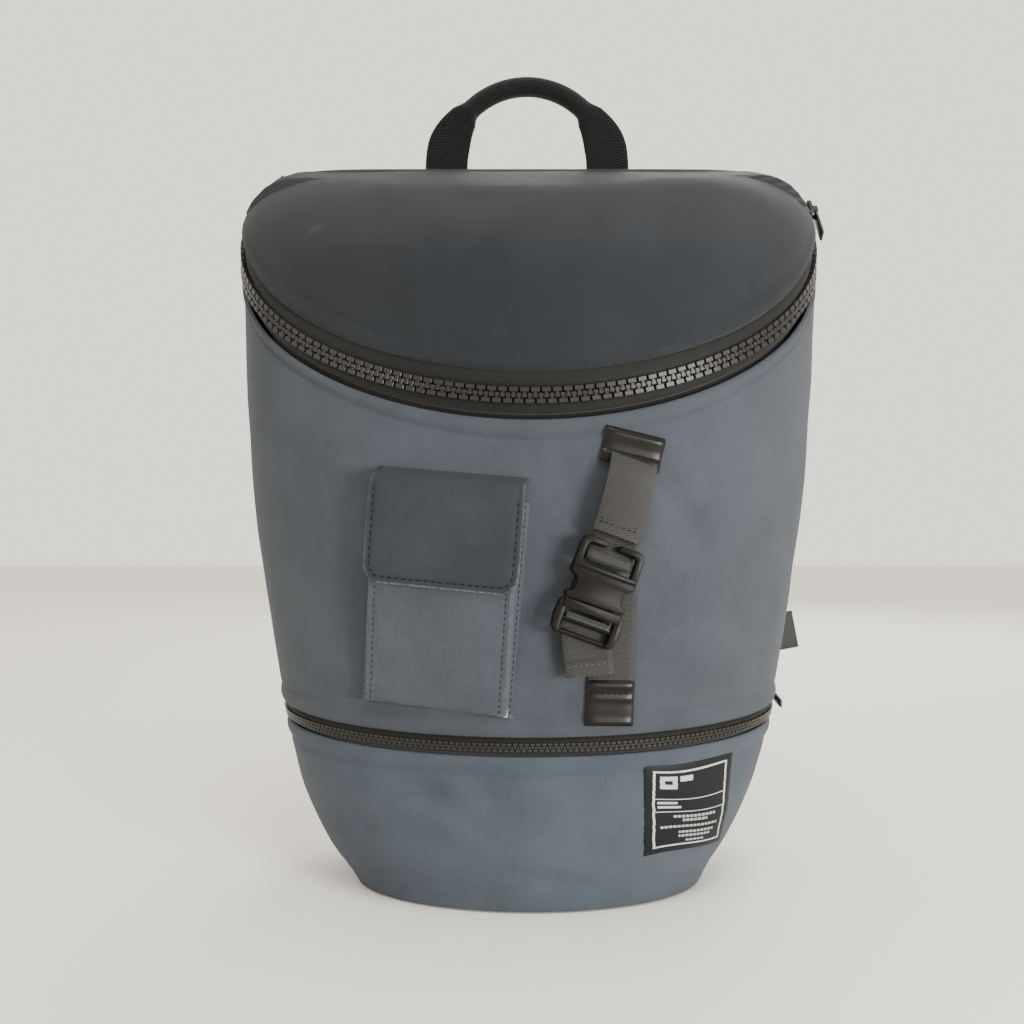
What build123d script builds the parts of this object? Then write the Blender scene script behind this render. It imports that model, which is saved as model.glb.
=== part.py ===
"""Waxed-canvas day backpack with a slanted zip lid, a zipped base compartment,
a bellows cargo pocket and a side-release buckle strap on the front.

Millimetres. X points to the viewer's right of a person facing the front, the
front faces -Y, Z points up. The origin is the middle of the base it stands on.
"""
from build123d import *
import math
import os
from functools import lru_cache

os.makedirs("parts", exist_ok=True)

# ---- driving dimensions -------------------------------------------------
BACK_Y = 68.0            # outer face of the flat back
WIDEST_Y = 8.0           # depth at which the section is widest
BACK_CORNER = 30.0       # radius of the two back corners, seen from above
TOP_Z = 446.0            # top edge at the back
TOP_SLOPE = 20.0         # the top falls this many degrees towards the front
TOP_FRONT_ROUND = 50.0   # round between the top and the front
TOP_SIDE_ROUND = 40.0    # round between the top and the sides
FRONT_Y = -86.0          # fullest part of the front
CANVAS = 1.6             # waxed canvas and its interlining
WEBBING = 1.5            # webbing thickness
WEBBING_WIDE = 25.0      # webbing width on every strap
FIT = 0.1                # gap between layers that are sewn together

# height, half width, front, back of the bag's section
LEVELS = [
    (0, 98, -56, 62), (12, 112, -66, 66), (50, 133, -76, BACK_Y), (100, 146, -82, BACK_Y),
    (160, 156, -85, BACK_Y), (220, 163, FRONT_Y, BACK_Y), (300, 172, FRONT_Y, BACK_Y),
    (450, 174, FRONT_Y, BACK_Y),
]

# seam planes: a point on each (y, z) and its slope, rising towards the back
MAIN_SEAM = (66.0, TOP_Z, 47.3)
HINGE_GAP = 0.8
LOWER_SEAM = (-82.0, 95.0, 6.0)

# zips: half chain gap, tooth strip edge, canvas edge and tape edge from the seam
MAIN_ZIP = dict(gap=0.6, teeth=4.4, canvas=8.5, tape=13.0, proud=1.3)
LOWER_ZIP = dict(gap=0.5, teeth=2.4, canvas=5.0, tape=9.0, proud=0.5)
TAPE = 0.8

nodes = {}


# ---- the bag's form -----------------------------------------------------
def section(level, grow):
    """One horizontal section: half an ellipse in front, square with round corners behind."""
    z, half, front, back = level
    wide, nose, rear, corner = half + grow, WIDEST_Y - front + grow, back + grow, BACK_CORNER + grow
    edges = [
        EllipticalCenterArc((0, WIDEST_Y), wide, nose, start_angle=180, arc_size=180),
        Line((wide, WIDEST_Y), (wide, rear - corner)),
        CenterArc((wide - corner, rear - corner), corner, 0, 90),
        Line((wide - corner, rear), (corner - wide, rear)),
        CenterArc((corner - wide, rear - corner), corner, 90, 90),
        Line((-wide, rear - corner), (-wide, WIDEST_Y)),
    ]
    return Pos(0, 0, z) * Face(Wire(edges))


def side_profile(grow):
    """The bag seen from the side, as a slab wider than the bag."""
    fall = math.tan(math.radians(TOP_SLOPE))
    top = TOP_Z + grow / math.cos(math.radians(TOP_SLOPE))
    front, rear = FRONT_Y - grow - 0.7, BACK_Y + grow + 5
    face = Plane.YZ * make_face(Polyline(
        (rear, -1), (rear, top - (BACK_Y - rear) * fall), (front, top - (BACK_Y - front) * fall),
        (front, -1), close=True))
    corner = face.vertices().sort_by(Axis.Z)[-2]
    return extrude(fillet(corner, TOP_FRONT_ROUND + grow), 300, both=True)


def front_profile(grow):
    """The bag seen from the front, as a slab deeper than the bag."""
    wide, top = 2 * (LEVELS[-1][1] + grow + 8), TOP_Z + grow
    face = Plane.XZ * Pos(0, top / 2 - 1) * Rectangle(wide, top + 2)
    face = fillet(face.vertices().group_by(Axis.Z)[-1], TOP_SIDE_ROUND + grow + 8)
    return extrude(face, 300, both=True)


@lru_cache(None)
def form(grow):
    """The whole bag's outer form, grown or shrunk by an even distance."""
    barrel = loft([section(level, grow) for level in LEVELS], ruled=True)
    return (barrel & side_profile(grow) & front_profile(grow)).solid()


def shell(outer, inner):
    return form(outer) - form(inner)


def slab(seam, low, high):
    """Everything between two distances above a seam plane."""
    y, z, slope = seam
    return Pos(0, y, z) * Rot(X=slope) * Pos(0, 0, (low + high) / 2) * Box(800, 1400, high - low)


def between(y_low=-400, y_high=400, z_low=-400, z_high=900):
    return Pos(0, (y_low + y_high) / 2, (z_low + z_high) / 2) * Box(800, y_high - y_low, z_high - z_low)


def frame_box(frame, across, along, out):
    """A box between limits measured in a frame: across, along and out of it."""
    size = [high - low for low, high in (across, along, out)]
    middle = [(high + low) / 2 for low, high in (across, along, out)]
    return frame.location * Pos(*middle) * Box(*size)


def frame_rod(frame, across, along, out, radius):
    """A round bar that runs across a frame at one height."""
    low, high = across
    middle = Pos((low + high) / 2, along, out)
    return frame.location * middle * Rot(Y=90) * Cylinder(radius, high - low)


def ribbon(points, width):
    """A closed strip of even width along a short list of 2-D points."""
    sides = ([], [])
    for i, (x, y) in enumerate(points):
        x0, y0 = points[max(i - 1, 0)]
        x1, y1 = points[min(i + 1, len(points) - 1)]
        length = math.hypot(x1 - x0, y1 - y0)
        nx, ny = -(y1 - y0) / length, (x1 - x0) / length
        for side, sign in zip(sides, (1, -1)):
            side.append((x + sign * nx * width / 2, y + sign * ny * width / 2))
    return make_face(Polyline(*sides[0], *reversed(sides[1]), close=True))


# ---- canvas body, base, lid and linings ---------------------------------
PANEL_Y = BACK_Y - 2.4          # the back panel's inner face
ZIP_END_Y = 53.0                # both tooth strips stop here, and cloth closes the corner behind them
LINING_OUT = -CANVAS - TAPE - 3 * FIT


def make_canvas():
    walls = shell(0, -CANVAS) & between(y_high=PANEL_Y)
    behind = between(y_low=ZIP_END_Y + 1)
    nodes["body_canvas"] = walls & slab(LOWER_SEAM, LOWER_ZIP["canvas"], 900) \
        & (slab(MAIN_SEAM, -900, -MAIN_ZIP["canvas"]) + (slab(MAIN_SEAM, -30, -HINGE_GAP) & behind))
    nodes["base_canvas"] = walls & slab(LOWER_SEAM, -900, -LOWER_ZIP["canvas"])
    nodes["lid_canvas"] = shell(0, -CANVAS) \
        & (slab(MAIN_SEAM, MAIN_ZIP["canvas"], 900) + (slab(MAIN_SEAM, HINGE_GAP, 60) & behind))
    nodes["back_panel"] = form(0) & between(y_low=PANEL_Y) & slab(MAIN_SEAM, -900, -1.5)
    nodes["bottom_panel"] = form(-CANVAS - FIT) & between(y_high=PANEL_Y - FIT, z_high=2)


def make_linings():
    lining = shell(LINING_OUT, LINING_OUT - 0.5)
    nodes["body_lining"] = lining & slab(LOWER_SEAM, 14, 900) \
        & slab(MAIN_SEAM, -900, -MAIN_ZIP["tape"] - 1)
    nodes["lid_lining"] = lining & slab(MAIN_SEAM, MAIN_ZIP["tape"] + 1, 900)
    inside = form(LINING_OUT)
    nodes["compartment_floor"] = inside & slab(LOWER_SEAM, 11, 12.5) & between(y_high=PANEL_Y - 3)
    sleeve_y = (44, 50)
    pocket = Pos(0, sum(sleeve_y) / 2, 255) * Box(250, sleeve_y[1] - sleeve_y[0], 260)
    nodes["laptop_sleeve"] = fillet(pocket.edges().filter_by(Axis.Y).group_by(Axis.Z)[0], 20)
    nodes["sleeve_binding"] = Pos(0, sum(sleeve_y) / 2, 388.2) * Box(250, 7.5, 6)


def make_zip(name, seam, zip_sizes, low_side, high_side):
    """Two tapes and two tooth strips, one pair on each side of a seam."""
    gap, teeth, tape = zip_sizes["gap"], zip_sizes["teeth"], zip_sizes["tape"]
    tape_ring = shell(-CANVAS - FIT, -CANVAS - FIT - TAPE) & between(y_high=PANEL_Y - FIT)
    teeth_ring = shell(zip_sizes["proud"], -CANVAS) & between(y_high=ZIP_END_Y)
    for side, sign in ((low_side, -1), (high_side, 1)):
        limits = sorted((sign * gap, sign * tape))
        nodes[f"{name}_tape_{side}"] = tape_ring & slab(seam, *limits)
        limits = sorted((sign * gap, sign * teeth))
        nodes[f"{name}_teeth_{side}"] = teeth_ring & slab(seam, *limits)


# ---- zip sliders --------------------------------------------------------
SLIDER_Y = 31.0          # where both sliders are parked, behind the widest point


def slider_frame(seam, start_y, wall_slope):
    """A frame on the right wall, X along the seam and Z outwards, and the slider's travel."""
    y, z, slope = seam
    run = math.radians(slope)
    start_z = z + (start_y - y) * math.tan(run)
    travel = Vector(-wall_slope * math.sin(run), -math.cos(run), -math.sin(run)).normalized()
    frame = Plane(origin=(wall_at(start_z), start_y, start_z), x_dir=travel, z_dir=(1, 0, 0))
    return frame, travel


def wall_at(z):
    """Half width of the bag at a height."""
    for (z0, w0, _, _), (z1, w1, _, _) in zip(LEVELS, LEVELS[1:]):
        if z0 <= z <= z1:
            return w0 + (w1 - w0) * (z - z0) / (z1 - z0)
    return LEVELS[-1][1]


def make_slider(name, frame, travel, zip_sizes, long, wide):
    """Outer plate, inner plate and the thin post between them, with a pull on a bridge."""
    proud = zip_sizes["proud"] + 1.0
    inner = -CANVAS - FIT - TAPE - 0.9
    plate = 2.0
    body = frame_box(frame, (-long / 2, long / 2), (-wide / 2, wide / 2), (proud, proud + plate))
    body = fillet(body.edges().filter_by(lambda e: abs(e.tangent_at(0).dot(frame.z_dir)) > 0.99), wide / 3)
    body += frame_box(frame, (-long / 2, long / 2), (-wide / 2, wide / 2), (inner - 1.2, inner))
    body += frame_box(frame, (-long / 2, -long / 2 + 4), (-0.3, 0.3), (inner, proud))
    bridge = proud + plate
    for side in (-1, 1):
        limits = sorted((side * 2.2, side * 3.6))
        body += frame_box(frame, (-2.5, 2.5), limits, (bridge, bridge + 3.6))
    pin_height = bridge + 2.2
    turned = Plane(origin=frame.from_local_coords((0, 0, 0)), x_dir=frame.y_dir, z_dir=frame.z_dir)
    body += frame_rod(turned, (-2.4, 2.4), 0, pin_height, 0.8)
    nodes[f"{name}_slider"] = body
    pin_hole = frame_rod(turned, (-3, 3), 0, pin_height, 1.1)
    eye = frame_rod(turned, (-1.8, 1.8), 0, pin_height, 1.9) - pin_hole
    tab = frame_box(frame, (1.5, 26), (-wide * 0.3, wide * 0.3), (pin_height - 0.7, pin_height + 0.7))
    tab -= frame_box(frame, (-3, 3.8), (1.8, 20), (0, 20))
    tab -= frame_box(frame, (-3, 3.8), (-20, -1.8), (0, 20))
    tab -= pin_hole
    nodes[f"{name}_pull"] = eye + tab
    pin = frame.from_local_coords((0, 0, pin_height))
    print(name, "travel", travel, "pin", pin, "pin axis", frame.y_dir)


# ---- cargo pocket and its flap ------------------------------------------
POCKET_WIDE = 82.0
POCKET_LOW, POCKET_TOP = -66.0, 54.0
POCKET_DEEP = 13.0
FLAP_SHEET = 2.2
POCKET_FRAME = Plane(
    origin=(-46.5, -80.0, 176.0), x_dir=Vector(0.985, -0.15, -0.087),
    z_dir=Vector(-0.15, -0.985, -0.035))


def make_pocket():
    half, wall = POCKET_WIDE / 2, 1.5
    outer = frame_box(POCKET_FRAME, (-half, half), (POCKET_LOW, POCKET_TOP), (-40, POCKET_DEEP))
    outer = round_lower_corners(outer, POCKET_FRAME, 12)
    hollow = frame_box(POCKET_FRAME, (-half + wall, half - wall), (POCKET_LOW + wall, POCKET_TOP + 9),
                       (-50, POCKET_DEEP - wall))
    hollow = round_lower_corners(hollow, POCKET_FRAME, 10.5)
    nodes["pocket_body"] = outer - hollow - form(0.15)
    magnet = (-6, 6), (16, 28)
    inside = POCKET_DEEP - wall
    nodes["pocket_magnet"] = frame_box(POCKET_FRAME, *magnet, (inside - 2.1, inside - FIT))


def round_lower_corners(solid, frame, radius):
    def at_foot(edge):
        return abs(edge.tangent_at(0).dot(frame.z_dir)) > 0.99
    edges = sorted(solid.edges().filter_by(at_foot), key=lambda e: frame.to_local_coords(e.center()).Y)
    return fillet(edges[:2], radius)


def make_flap():
    half = POCKET_WIDE / 2 + 1.0
    foot, face = 5.0, POCKET_DEEP + 0.6
    hinge_along, hinge_out = POCKET_TOP + 7, POCKET_DEEP - 4.5
    sheet = frame_box(POCKET_FRAME, (-half, half), (foot, POCKET_TOP + 1), (face, face + FLAP_SHEET))
    sheet = round_lower_corners(sheet, POCKET_FRAME, 11)
    side = Plane(origin=POCKET_FRAME.from_local_coords((-half, 0, 0)), x_dir=POCKET_FRAME.z_dir,
                 z_dir=POCKET_FRAME.x_dir)
    # the sheet bends over the mouth down to its seam on the body
    sign = 1 if side.y_dir.dot(POCKET_FRAME.y_dir) > 0 else -1
    bend = [(face, POCKET_TOP + 1), (face + FLAP_SHEET, POCKET_TOP + 1),
            (hinge_out + 1.6, hinge_along + 0.9), (hinge_out - 0.6, hinge_along - 0.9)]
    bend = side.location * make_face(Polyline(*[(u, sign * v) for u, v in bend], close=True))
    nodes["pocket_flap"] = sheet + extrude(bend, 2 * half, dir=POCKET_FRAME.x_dir) - form(1.2)
    nodes["flap_magnet"] = frame_box(POCKET_FRAME, (-6, 6), (12, 24), (face + FLAP_SHEET, face + FLAP_SHEET + 0.5))
    print("flap hinge", POCKET_FRAME.from_local_coords((0, hinge_along, hinge_out)),
          "axis", POCKET_FRAME.x_dir)


# ---- buckle strap on the front ------------------------------------------
BUCKLE_TILT, WEB_TILT = 20.0, 13.0
BUCKLE_YAW = 0.14
BUCKLE_WIDE, BUCKLE_THICK = 35.0, 9.0


def strap_frame(origin, tilt):
    """A frame on the front: X across the strap, Y up along it, Z out of the bag."""
    turn = math.radians(tilt)
    return Plane(origin=origin, x_dir=Vector(math.cos(turn), BUCKLE_YAW * math.cos(turn), -math.sin(turn)),
                 z_dir=Vector(BUCKLE_YAW, -1, 0))


BUCKLE = strap_frame((33.5, -90.0, 178.5), BUCKLE_TILT)
UPPER = strap_frame((54.0, -86.6, 253.0), WEB_TILT)
LOWER = strap_frame((42.0, -83.0, 117.0), 2.0)
BAR_ALONG, BAR_OUT = 17.5, 4.5


def make_anchor_tabs():
    half = WEBBING_WIDE / 2
    tab = frame_box(UPPER, (-half - 4, half + 4), (-9, 9), (-12, 3.0)) - form(0.15)
    nodes["upper_anchor"] = tab
    tab = frame_box(LOWER, (-half - 0.5, half + 0.5), (-10, 15), (-12, 2.6)) - form(0.15)
    nodes["lower_anchor"] = tab - frame_box(LOWER, (-half - 0.2, half + 0.2), (10, 18), (0, 1.7))
    nodes["lower_webbing"] = frame_box(LOWER, (-half, half), (10.1, 60), (0.1, 0.1 + WEBBING)) - form(0.15)


def make_upper_webbing():
    half = WEBBING_WIDE / 2
    low = BUCKLE.location * Pos(0, BAR_ALONG, BAR_OUT)
    top = UPPER.from_local_coords((0, -11.4, 0.4))
    end = BUCKLE.from_local_coords((0, BAR_ALONG + 3.4, BAR_OUT - 2.55))
    up = (top - end).normalized()
    run = Plane(origin=end, x_dir=BUCKLE.x_dir, z_dir=BUCKLE.x_dir.cross(up))
    strip = frame_box(run, (-half, half), (-1.5, (top - end).length), (-WEBBING / 2, WEBBING / 2))
    loop = low * Box(WEBBING_WIDE, 8.0, 6.6) - loop_space(low)
    nodes["upper_webbing"] = strip - loop_space(low) + loop
    print("upper webbing hinge", top, "axis", UPPER.x_dir)


def loop_space(place):
    return place * Box(40, 5.6, 4.2)


def make_socket():
    half, thick = BUCKLE_WIDE / 2, BUCKLE_THICK
    body = frame_box(BUCKLE, (-half, half), (-7, 11), (0, thick))
    body = fillet(body.edges().filter_by(lambda e: abs(e.tangent_at(0).dot(BUCKLE.y_dir)) > 0.99), 2.5)
    body -= frame_box(BUCKLE, (-half + 2.5, half - 2.5), (-8, 9), (2, thick - 2))
    for side in (-1, 1):
        limits = sorted((side * (half - 4), side * (half + 1)))
        body -= frame_box(BUCKLE, limits, (-3.5, 5.5), (2, thick - 2))
        limits = sorted((side * (half - 3.6), side * half))
        body += frame_box(BUCKLE, limits, (10, 26), (2.6, thick - 0.6))
        limits = sorted((side * 2.2, side * half))
        body += frame_box(BUCKLE, limits, (23.6, 26.4), (6.2, thick - 0.6))
    body += frame_rod(BUCKLE, (-half + 1, half - 1), BAR_ALONG, BAR_OUT, 1.6)
    nodes["buckle_socket"] = body
    print("socket bar", BUCKLE.from_local_coords((0, BAR_ALONG, BAR_OUT)), "axis", BUCKLE.x_dir)


PRONG_ROOT, PRONG_TIP = -10.0, 7.0
PLUG_BAR, TAIL_TILT = -17.5, -6.0


def make_plug():
    half, thick = BUCKLE_WIDE / 2, BUCKLE_THICK
    body = frame_box(BUCKLE, (-half, half), (-12.5, -7.4), (0.6, thick - 0.6))
    body += frame_box(BUCKLE, (-2.6, 2.6), (-8, 7.5), (2.4, thick - 2.4))
    body += frame_box(BUCKLE, (-6, 6), (-16, -12), (2, thick - 2))
    body += frame_rod(BUCKLE, (-half + 1, half - 1), PLUG_BAR, BAR_OUT, 1.7)
    for side in (-1, 1):
        limits = sorted((side * (half - 3.6), side * half))
        body += frame_box(BUCKLE, limits, (-26, -12), (2, thick - 2))
        limits = sorted((side * 7, side * half))
        body += frame_box(BUCKLE, limits, (-26.5, -23.5), (2, thick - 2))
        pin = BUCKLE.from_local_coords((side * 9.6, PRONG_ROOT, BAR_OUT))
        limits = sorted((side * 7.4, side * 12.2))
        body -= frame_box(BUCKLE, limits, (PRONG_ROOT - 1.8, -7), (2.2, thick - 2.2))
        print("prong pin", side, pin)
    body -= frame_box(BUCKLE, (-12.8, 12.8), (-23.4, -19.3), (0, thick))
    nodes["buckle_plug"] = body
    for name, side in (("left", -1), ("right", 1)):
        limits = sorted((side * 8.4, side * 10.8))
        prong = frame_box(BUCKLE, limits, (PRONG_ROOT - 1.0, PRONG_TIP), (2.6, thick - 2.6))
        limits = sorted((side * 10.6, side * 13.8))
        prong += frame_box(BUCKLE, limits, (-2.6, 5.0), (2.6, thick - 2.6))
        nodes[f"prong_{name}"] = prong
    print("slide", -BUCKLE.y_dir, "prong axis", BUCKLE.z_dir)


def make_tail():
    """The webbing's free end: round the plug's bar and straight down behind it."""
    half = WEBBING_WIDE / 2
    bar = BUCKLE.from_local_coords((0, PLUG_BAR, BAR_OUT))
    ring = BUCKLE.location * Pos(0, PLUG_BAR, BAR_OUT) * (Box(WEBBING_WIDE, 7.6, 7.2) - Box(40, 4.6, 4.4))
    ring -= frame_box(BUCKLE, (-6.3, 6.3), (-16.3, -12), (0, 10))
    hang = strap_frame(bar, TAIL_TILT)
    nodes["strap_tail"] = ring + frame_box(hang, (-half, half), (-27, 0), (-4.9, -3.5))


# ---- grab handle --------------------------------------------------------
HANDLE_Y, HANDLE_HINGE_Z = 75.0, 440.0
HANDLE_HALF, HANDLE_LEG, HANDLE_TOP = 53.0, 28.0, 505.0


def make_handle():
    legs, anchors = None, None
    for side in (-1, 1):
        leg = Pos(side * HANDLE_HALF, HANDLE_Y, (HANDLE_HINGE_Z + 483) / 2) * Box(HANDLE_LEG, 3, 43)
        legs = leg if legs is None else legs + leg
        patch = Pos(side * HANDLE_HALF, BACK_Y + 1.7, 424) * Box(HANDLE_LEG + 4, 3, 26)
        step = Pos(side * HANDLE_HALF, BACK_Y + 4.5, 433) * Box(HANDLE_LEG, 8.6, 6)
        piece = patch + step
        anchors = piece if anchors is None else anchors + piece
    arch = ThreePointArc((-HANDLE_HALF, HANDLE_Y, 482), (0, HANDLE_Y, HANDLE_TOP),
                         (HANDLE_HALF, HANDLE_Y, 482))
    tube = sweep(arch_section(arch, 6.5), path=arch)
    core = sweep(arch_section(arch, 4.5), path=arch)
    nodes["handle_webbing"] = legs - core + (tube - core)
    nodes["handle_core"] = sweep(arch_section(arch, 4.4), path=arch)
    nodes["handle_anchors"] = anchors
    print("handle hinge z", HANDLE_HINGE_Z)


def arch_section(arch, radius):
    return Plane(origin=arch @ 0, z_dir=arch % 0) * Circle(radius)


# ---- harness ------------------------------------------------------------
PAD_THICK = 8.0
STRAP_THICK = 11.0
STRAP_WIDE = 60.0
STRAP_SIDE = [(78, 428), (84, 400), (94, 340), (98, 270), (92, 200), (86, 152)]     # y, z
STRAP_FRONT = [(40, 440), (47, 390), (64, 320), (78, 250), (86, 190), (89, 140)]    # x, z
LOCK_X, LOCK_Y, LOCK_Z = 88.5, 85.0, 134.0
TAILS = {"left": [(-90, 128), (-86, 84), (-82, 44)], "right": [(101, 126), (140, 133), (182, 141)]}   # x, z


def make_back():
    for name, side in (("left", -1), ("right", 1)):
        pad = Pos(side * 52, BACK_Y + FIT + PAD_THICK / 2, 255) * Box(74, PAD_THICK, 250)
        pad = fillet(pad.edges().filter_by(Axis.Y), 18)
        nodes[f"back_pad_{name}"] = fillet(pad.faces().sort_by(Axis.Y)[-1].edges(), 3)
    pad = Pos(0, BACK_Y + FIT + PAD_THICK / 2, 90) * Box(180, PAD_THICK, 62)
    pad = fillet(pad.edges().filter_by(Axis.Y), 18)
    nodes["lumbar_pad"] = fillet(pad.faces().sort_by(Axis.Y)[-1].edges(), 3)
    ring = shell(1.6, 0.1) & between(y_low=PANEL_Y - 3, y_high=BACK_Y - 1, z_low=13) \
        & slab(MAIN_SEAM, -900, -16)
    nodes["back_binding"] = ring
    nodes["strap_yoke"] = Pos(0, BACK_Y + 1.6, 400) * Box(170, 3, 18)


def make_shoulder_strap(name, side):
    plan = Plane.XZ * ribbon([(side * x, z) for x, z in STRAP_FRONT], STRAP_WIDE)
    depth = Plane.YZ * ribbon(STRAP_SIDE, STRAP_THICK)
    nodes[f"shoulder_pad_{name}"] = extrude(plan, 200, both=True) & extrude(depth, 300, both=True)
    lock = Pos(side * LOCK_X, LOCK_Y, LOCK_Z)
    body = lock * fillet(Box(34, 3.5, 28).edges().filter_by(Axis.Y), 4)
    for low, high in ((4.5, 9.5), (-2.5, 1.0), (-9.8, -6.0)):
        body -= lock * Pos(0, 0, (low + high) / 2) * Box(27, 10, high - low)
    nodes[f"ladder_lock_{name}"] = body
    bar = lock * Pos(0, 0, 11.75)
    loop = bar * (Box(WEBBING_WIDE, 9.2, 9.2) - Box(40, 6.4, 6.4))
    loop += bar * Pos(0, 0, 6.5) * Box(WEBBING_WIDE, 3, 5)
    nodes[f"lock_loop_{name}"] = loop - nodes[f"shoulder_pad_{name}"]


def make_lower_harness(name, side):
    """The fabric wing in the side seam and the webbing that rises from it to the ladder lock."""
    corners = [(side * x, z) for x, z in ((92, 26), (134, 34), (137, 64), (98, 72))]
    wing = Plane.XZ * make_face(Polyline(*corners, close=True))
    wing = extrude(wing, 100, both=True) & between(y_low=BACK_Y + FIT, y_high=BACK_Y + FIT + 4)
    nodes[f"wing_{name}"] = wing
    path = [(side * 112, 66), (side * 103, 92), (side * 93, 118)]
    plan = extrude(Plane.XZ * ribbon(path, WEBBING_WIDE), 200, both=True)
    rise = [(BACK_Y + 5.4, 55), (BACK_Y + 8.8, 66), (LOCK_Y, 118)]     # y, z
    depth = extrude(Plane.YZ * ribbon(rise, WEBBING), 300, both=True)
    nodes[f"strap_webbing_{name}"] = (plan & depth) - wing
    tail = extrude(Plane.XZ * ribbon(TAILS[name], WEBBING_WIDE), 200, both=True)
    nodes[f"webbing_tail_{name}"] = tail & between(y_low=LOCK_Y + 2.2, y_high=LOCK_Y + 2.2 + WEBBING)


# ---- label --------------------------------------------------------------
def make_label():
    """A woven patch sewn to the lower right of the base, following its curve."""
    window = Pos(94, -60, 58) * Box(64, 110, 54)
    nodes["label_patch"] = shell(1.1, 0.1) & window


def main():
    make_canvas()
    make_linings()
    make_zip("main_zip", MAIN_SEAM, MAIN_ZIP, "lower", "upper")
    make_zip("lower_zip", LOWER_SEAM, LOWER_ZIP, "lower", "upper")
    make_slider("main_zip", *slider_frame(MAIN_SEAM, SLIDER_Y, 2 / 150), MAIN_ZIP, 16.0, 11.0)
    make_slider("lower_zip", *slider_frame(LOWER_SEAM, SLIDER_Y, 10 / 60), LOWER_ZIP, 12.0, 8.0)
    make_pocket()
    make_flap()
    make_anchor_tabs()
    make_upper_webbing()
    make_socket()
    make_plug()
    make_tail()
    make_handle()
    make_back()
    for name, side in (("left", -1), ("right", 1)):
        make_shoulder_strap(name, side)
        make_lower_harness(name, side)
    make_label()
    for name, shape in nodes.items():
        export_step(shape, f"parts/{name}.step")
        box = shape.bounding_box()
        print(f"{name:22s} solids {len(shape.solids())} volume {shape.volume:10.0f} "
              f"x {box.min.X:7.1f} {box.max.X:7.1f} y {box.min.Y:7.1f} {box.max.Y:7.1f} "
              f"z {box.min.Z:7.1f} {box.max.Z:7.1f}")


main()
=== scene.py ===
# %% [markdown]
# # A waxed-canvas day backpack
# The bag is built around a finished CAD frame. The frame says where every part sits and
# how it moves, and this lesson makes what a person would look at: cloth, zips, webbing,
# plastic. Everything is in metres, the front of the bag faces -Y, and Z is up.

# %% Load the frame
import math

import bmesh
import bpy
import numpy as np
from mathutils import Matrix, Vector, noise


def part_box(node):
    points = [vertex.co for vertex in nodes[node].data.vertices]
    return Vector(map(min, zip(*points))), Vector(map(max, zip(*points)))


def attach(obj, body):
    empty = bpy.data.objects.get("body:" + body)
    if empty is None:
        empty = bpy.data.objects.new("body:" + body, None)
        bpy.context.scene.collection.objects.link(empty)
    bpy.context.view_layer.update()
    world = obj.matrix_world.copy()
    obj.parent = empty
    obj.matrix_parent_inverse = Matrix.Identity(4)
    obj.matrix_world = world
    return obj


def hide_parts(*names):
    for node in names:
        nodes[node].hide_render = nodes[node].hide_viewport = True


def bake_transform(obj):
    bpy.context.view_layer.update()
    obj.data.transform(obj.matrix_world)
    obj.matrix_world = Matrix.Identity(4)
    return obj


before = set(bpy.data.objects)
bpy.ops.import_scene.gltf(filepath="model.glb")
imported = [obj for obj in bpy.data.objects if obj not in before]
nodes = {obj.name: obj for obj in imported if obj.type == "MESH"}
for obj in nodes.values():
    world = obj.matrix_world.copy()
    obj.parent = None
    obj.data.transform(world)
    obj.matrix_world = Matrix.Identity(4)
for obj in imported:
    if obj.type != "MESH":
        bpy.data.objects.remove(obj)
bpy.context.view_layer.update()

MM = 0.001

# %% [markdown]
# ## Camera, floor and light
# The camera stands straight in front, close enough that the near parts look larger: a
# focal length of 39.8 mm, about 600 mm from the front of the bag. The floor is one big
# pale sheet. Four soft lamps light it: a strong one low on the right, where the cloth is
# brightest, two weaker ones above and on the left, and one behind.

# %% Camera and stage
EYE = (-10 * MM, -680 * MM, 220 * MM)
SIDES = ((-1, "left"), (1, "right"))
FLOOR_SIZE, FLOOR_DROP = 4.0, 0.5 * MM


def add(name, data):
    """A new object at the origin."""
    piece = bpy.data.objects.new(name, data)
    bpy.context.collection.objects.link(piece)
    return piece


camera_data = bpy.data.cameras.new("camera")
camera_data.lens, camera_data.sensor_width = 39.8, 36.0
camera = add("camera", camera_data)
camera.location = EYE
camera.rotation_euler = (math.radians(90), 0, 0)
bpy.context.scene.camera = camera


def lamp(name, place, aim, size, power, colour):
    """An area lamp at a place, turned towards a point."""
    data = bpy.data.lights.new(name, "AREA")
    data.size, data.energy, data.color = size, power, colour
    piece = add(name, data)
    piece.location = place
    piece.rotation_euler = (Vector(aim) - Vector(place)).to_track_quat("-Z", "Y").to_euler()


MIDDLE = (0, 0, 0.23)
lamp("window", (0.86, -1.03, 0.11), (0.02, 0, 0.14), 0.5, 41, (1.0, 0.975, 0.94))
lamp("sky", (0.15, -0.75, 1.35), MIDDLE, 0.5, 9, (0.95, 0.97, 1.0))
lamp("room", (-1.3, -0.9, 0.5), MIDDLE, 1.2, 5, (1.0, 0.98, 0.95))
lamp("behind", (0.5, 1.6, 1.1), MIDDLE, 1.0, 18, (1.0, 0.98, 0.95))

world = bpy.data.worlds.new("studio")
world.use_nodes = True
glow = world.node_tree.nodes["Background"].inputs
glow["Color"].default_value, glow["Strength"].default_value = (0.985, 0.935, 0.84, 1), 1.65
bpy.context.scene.world = world


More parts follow.
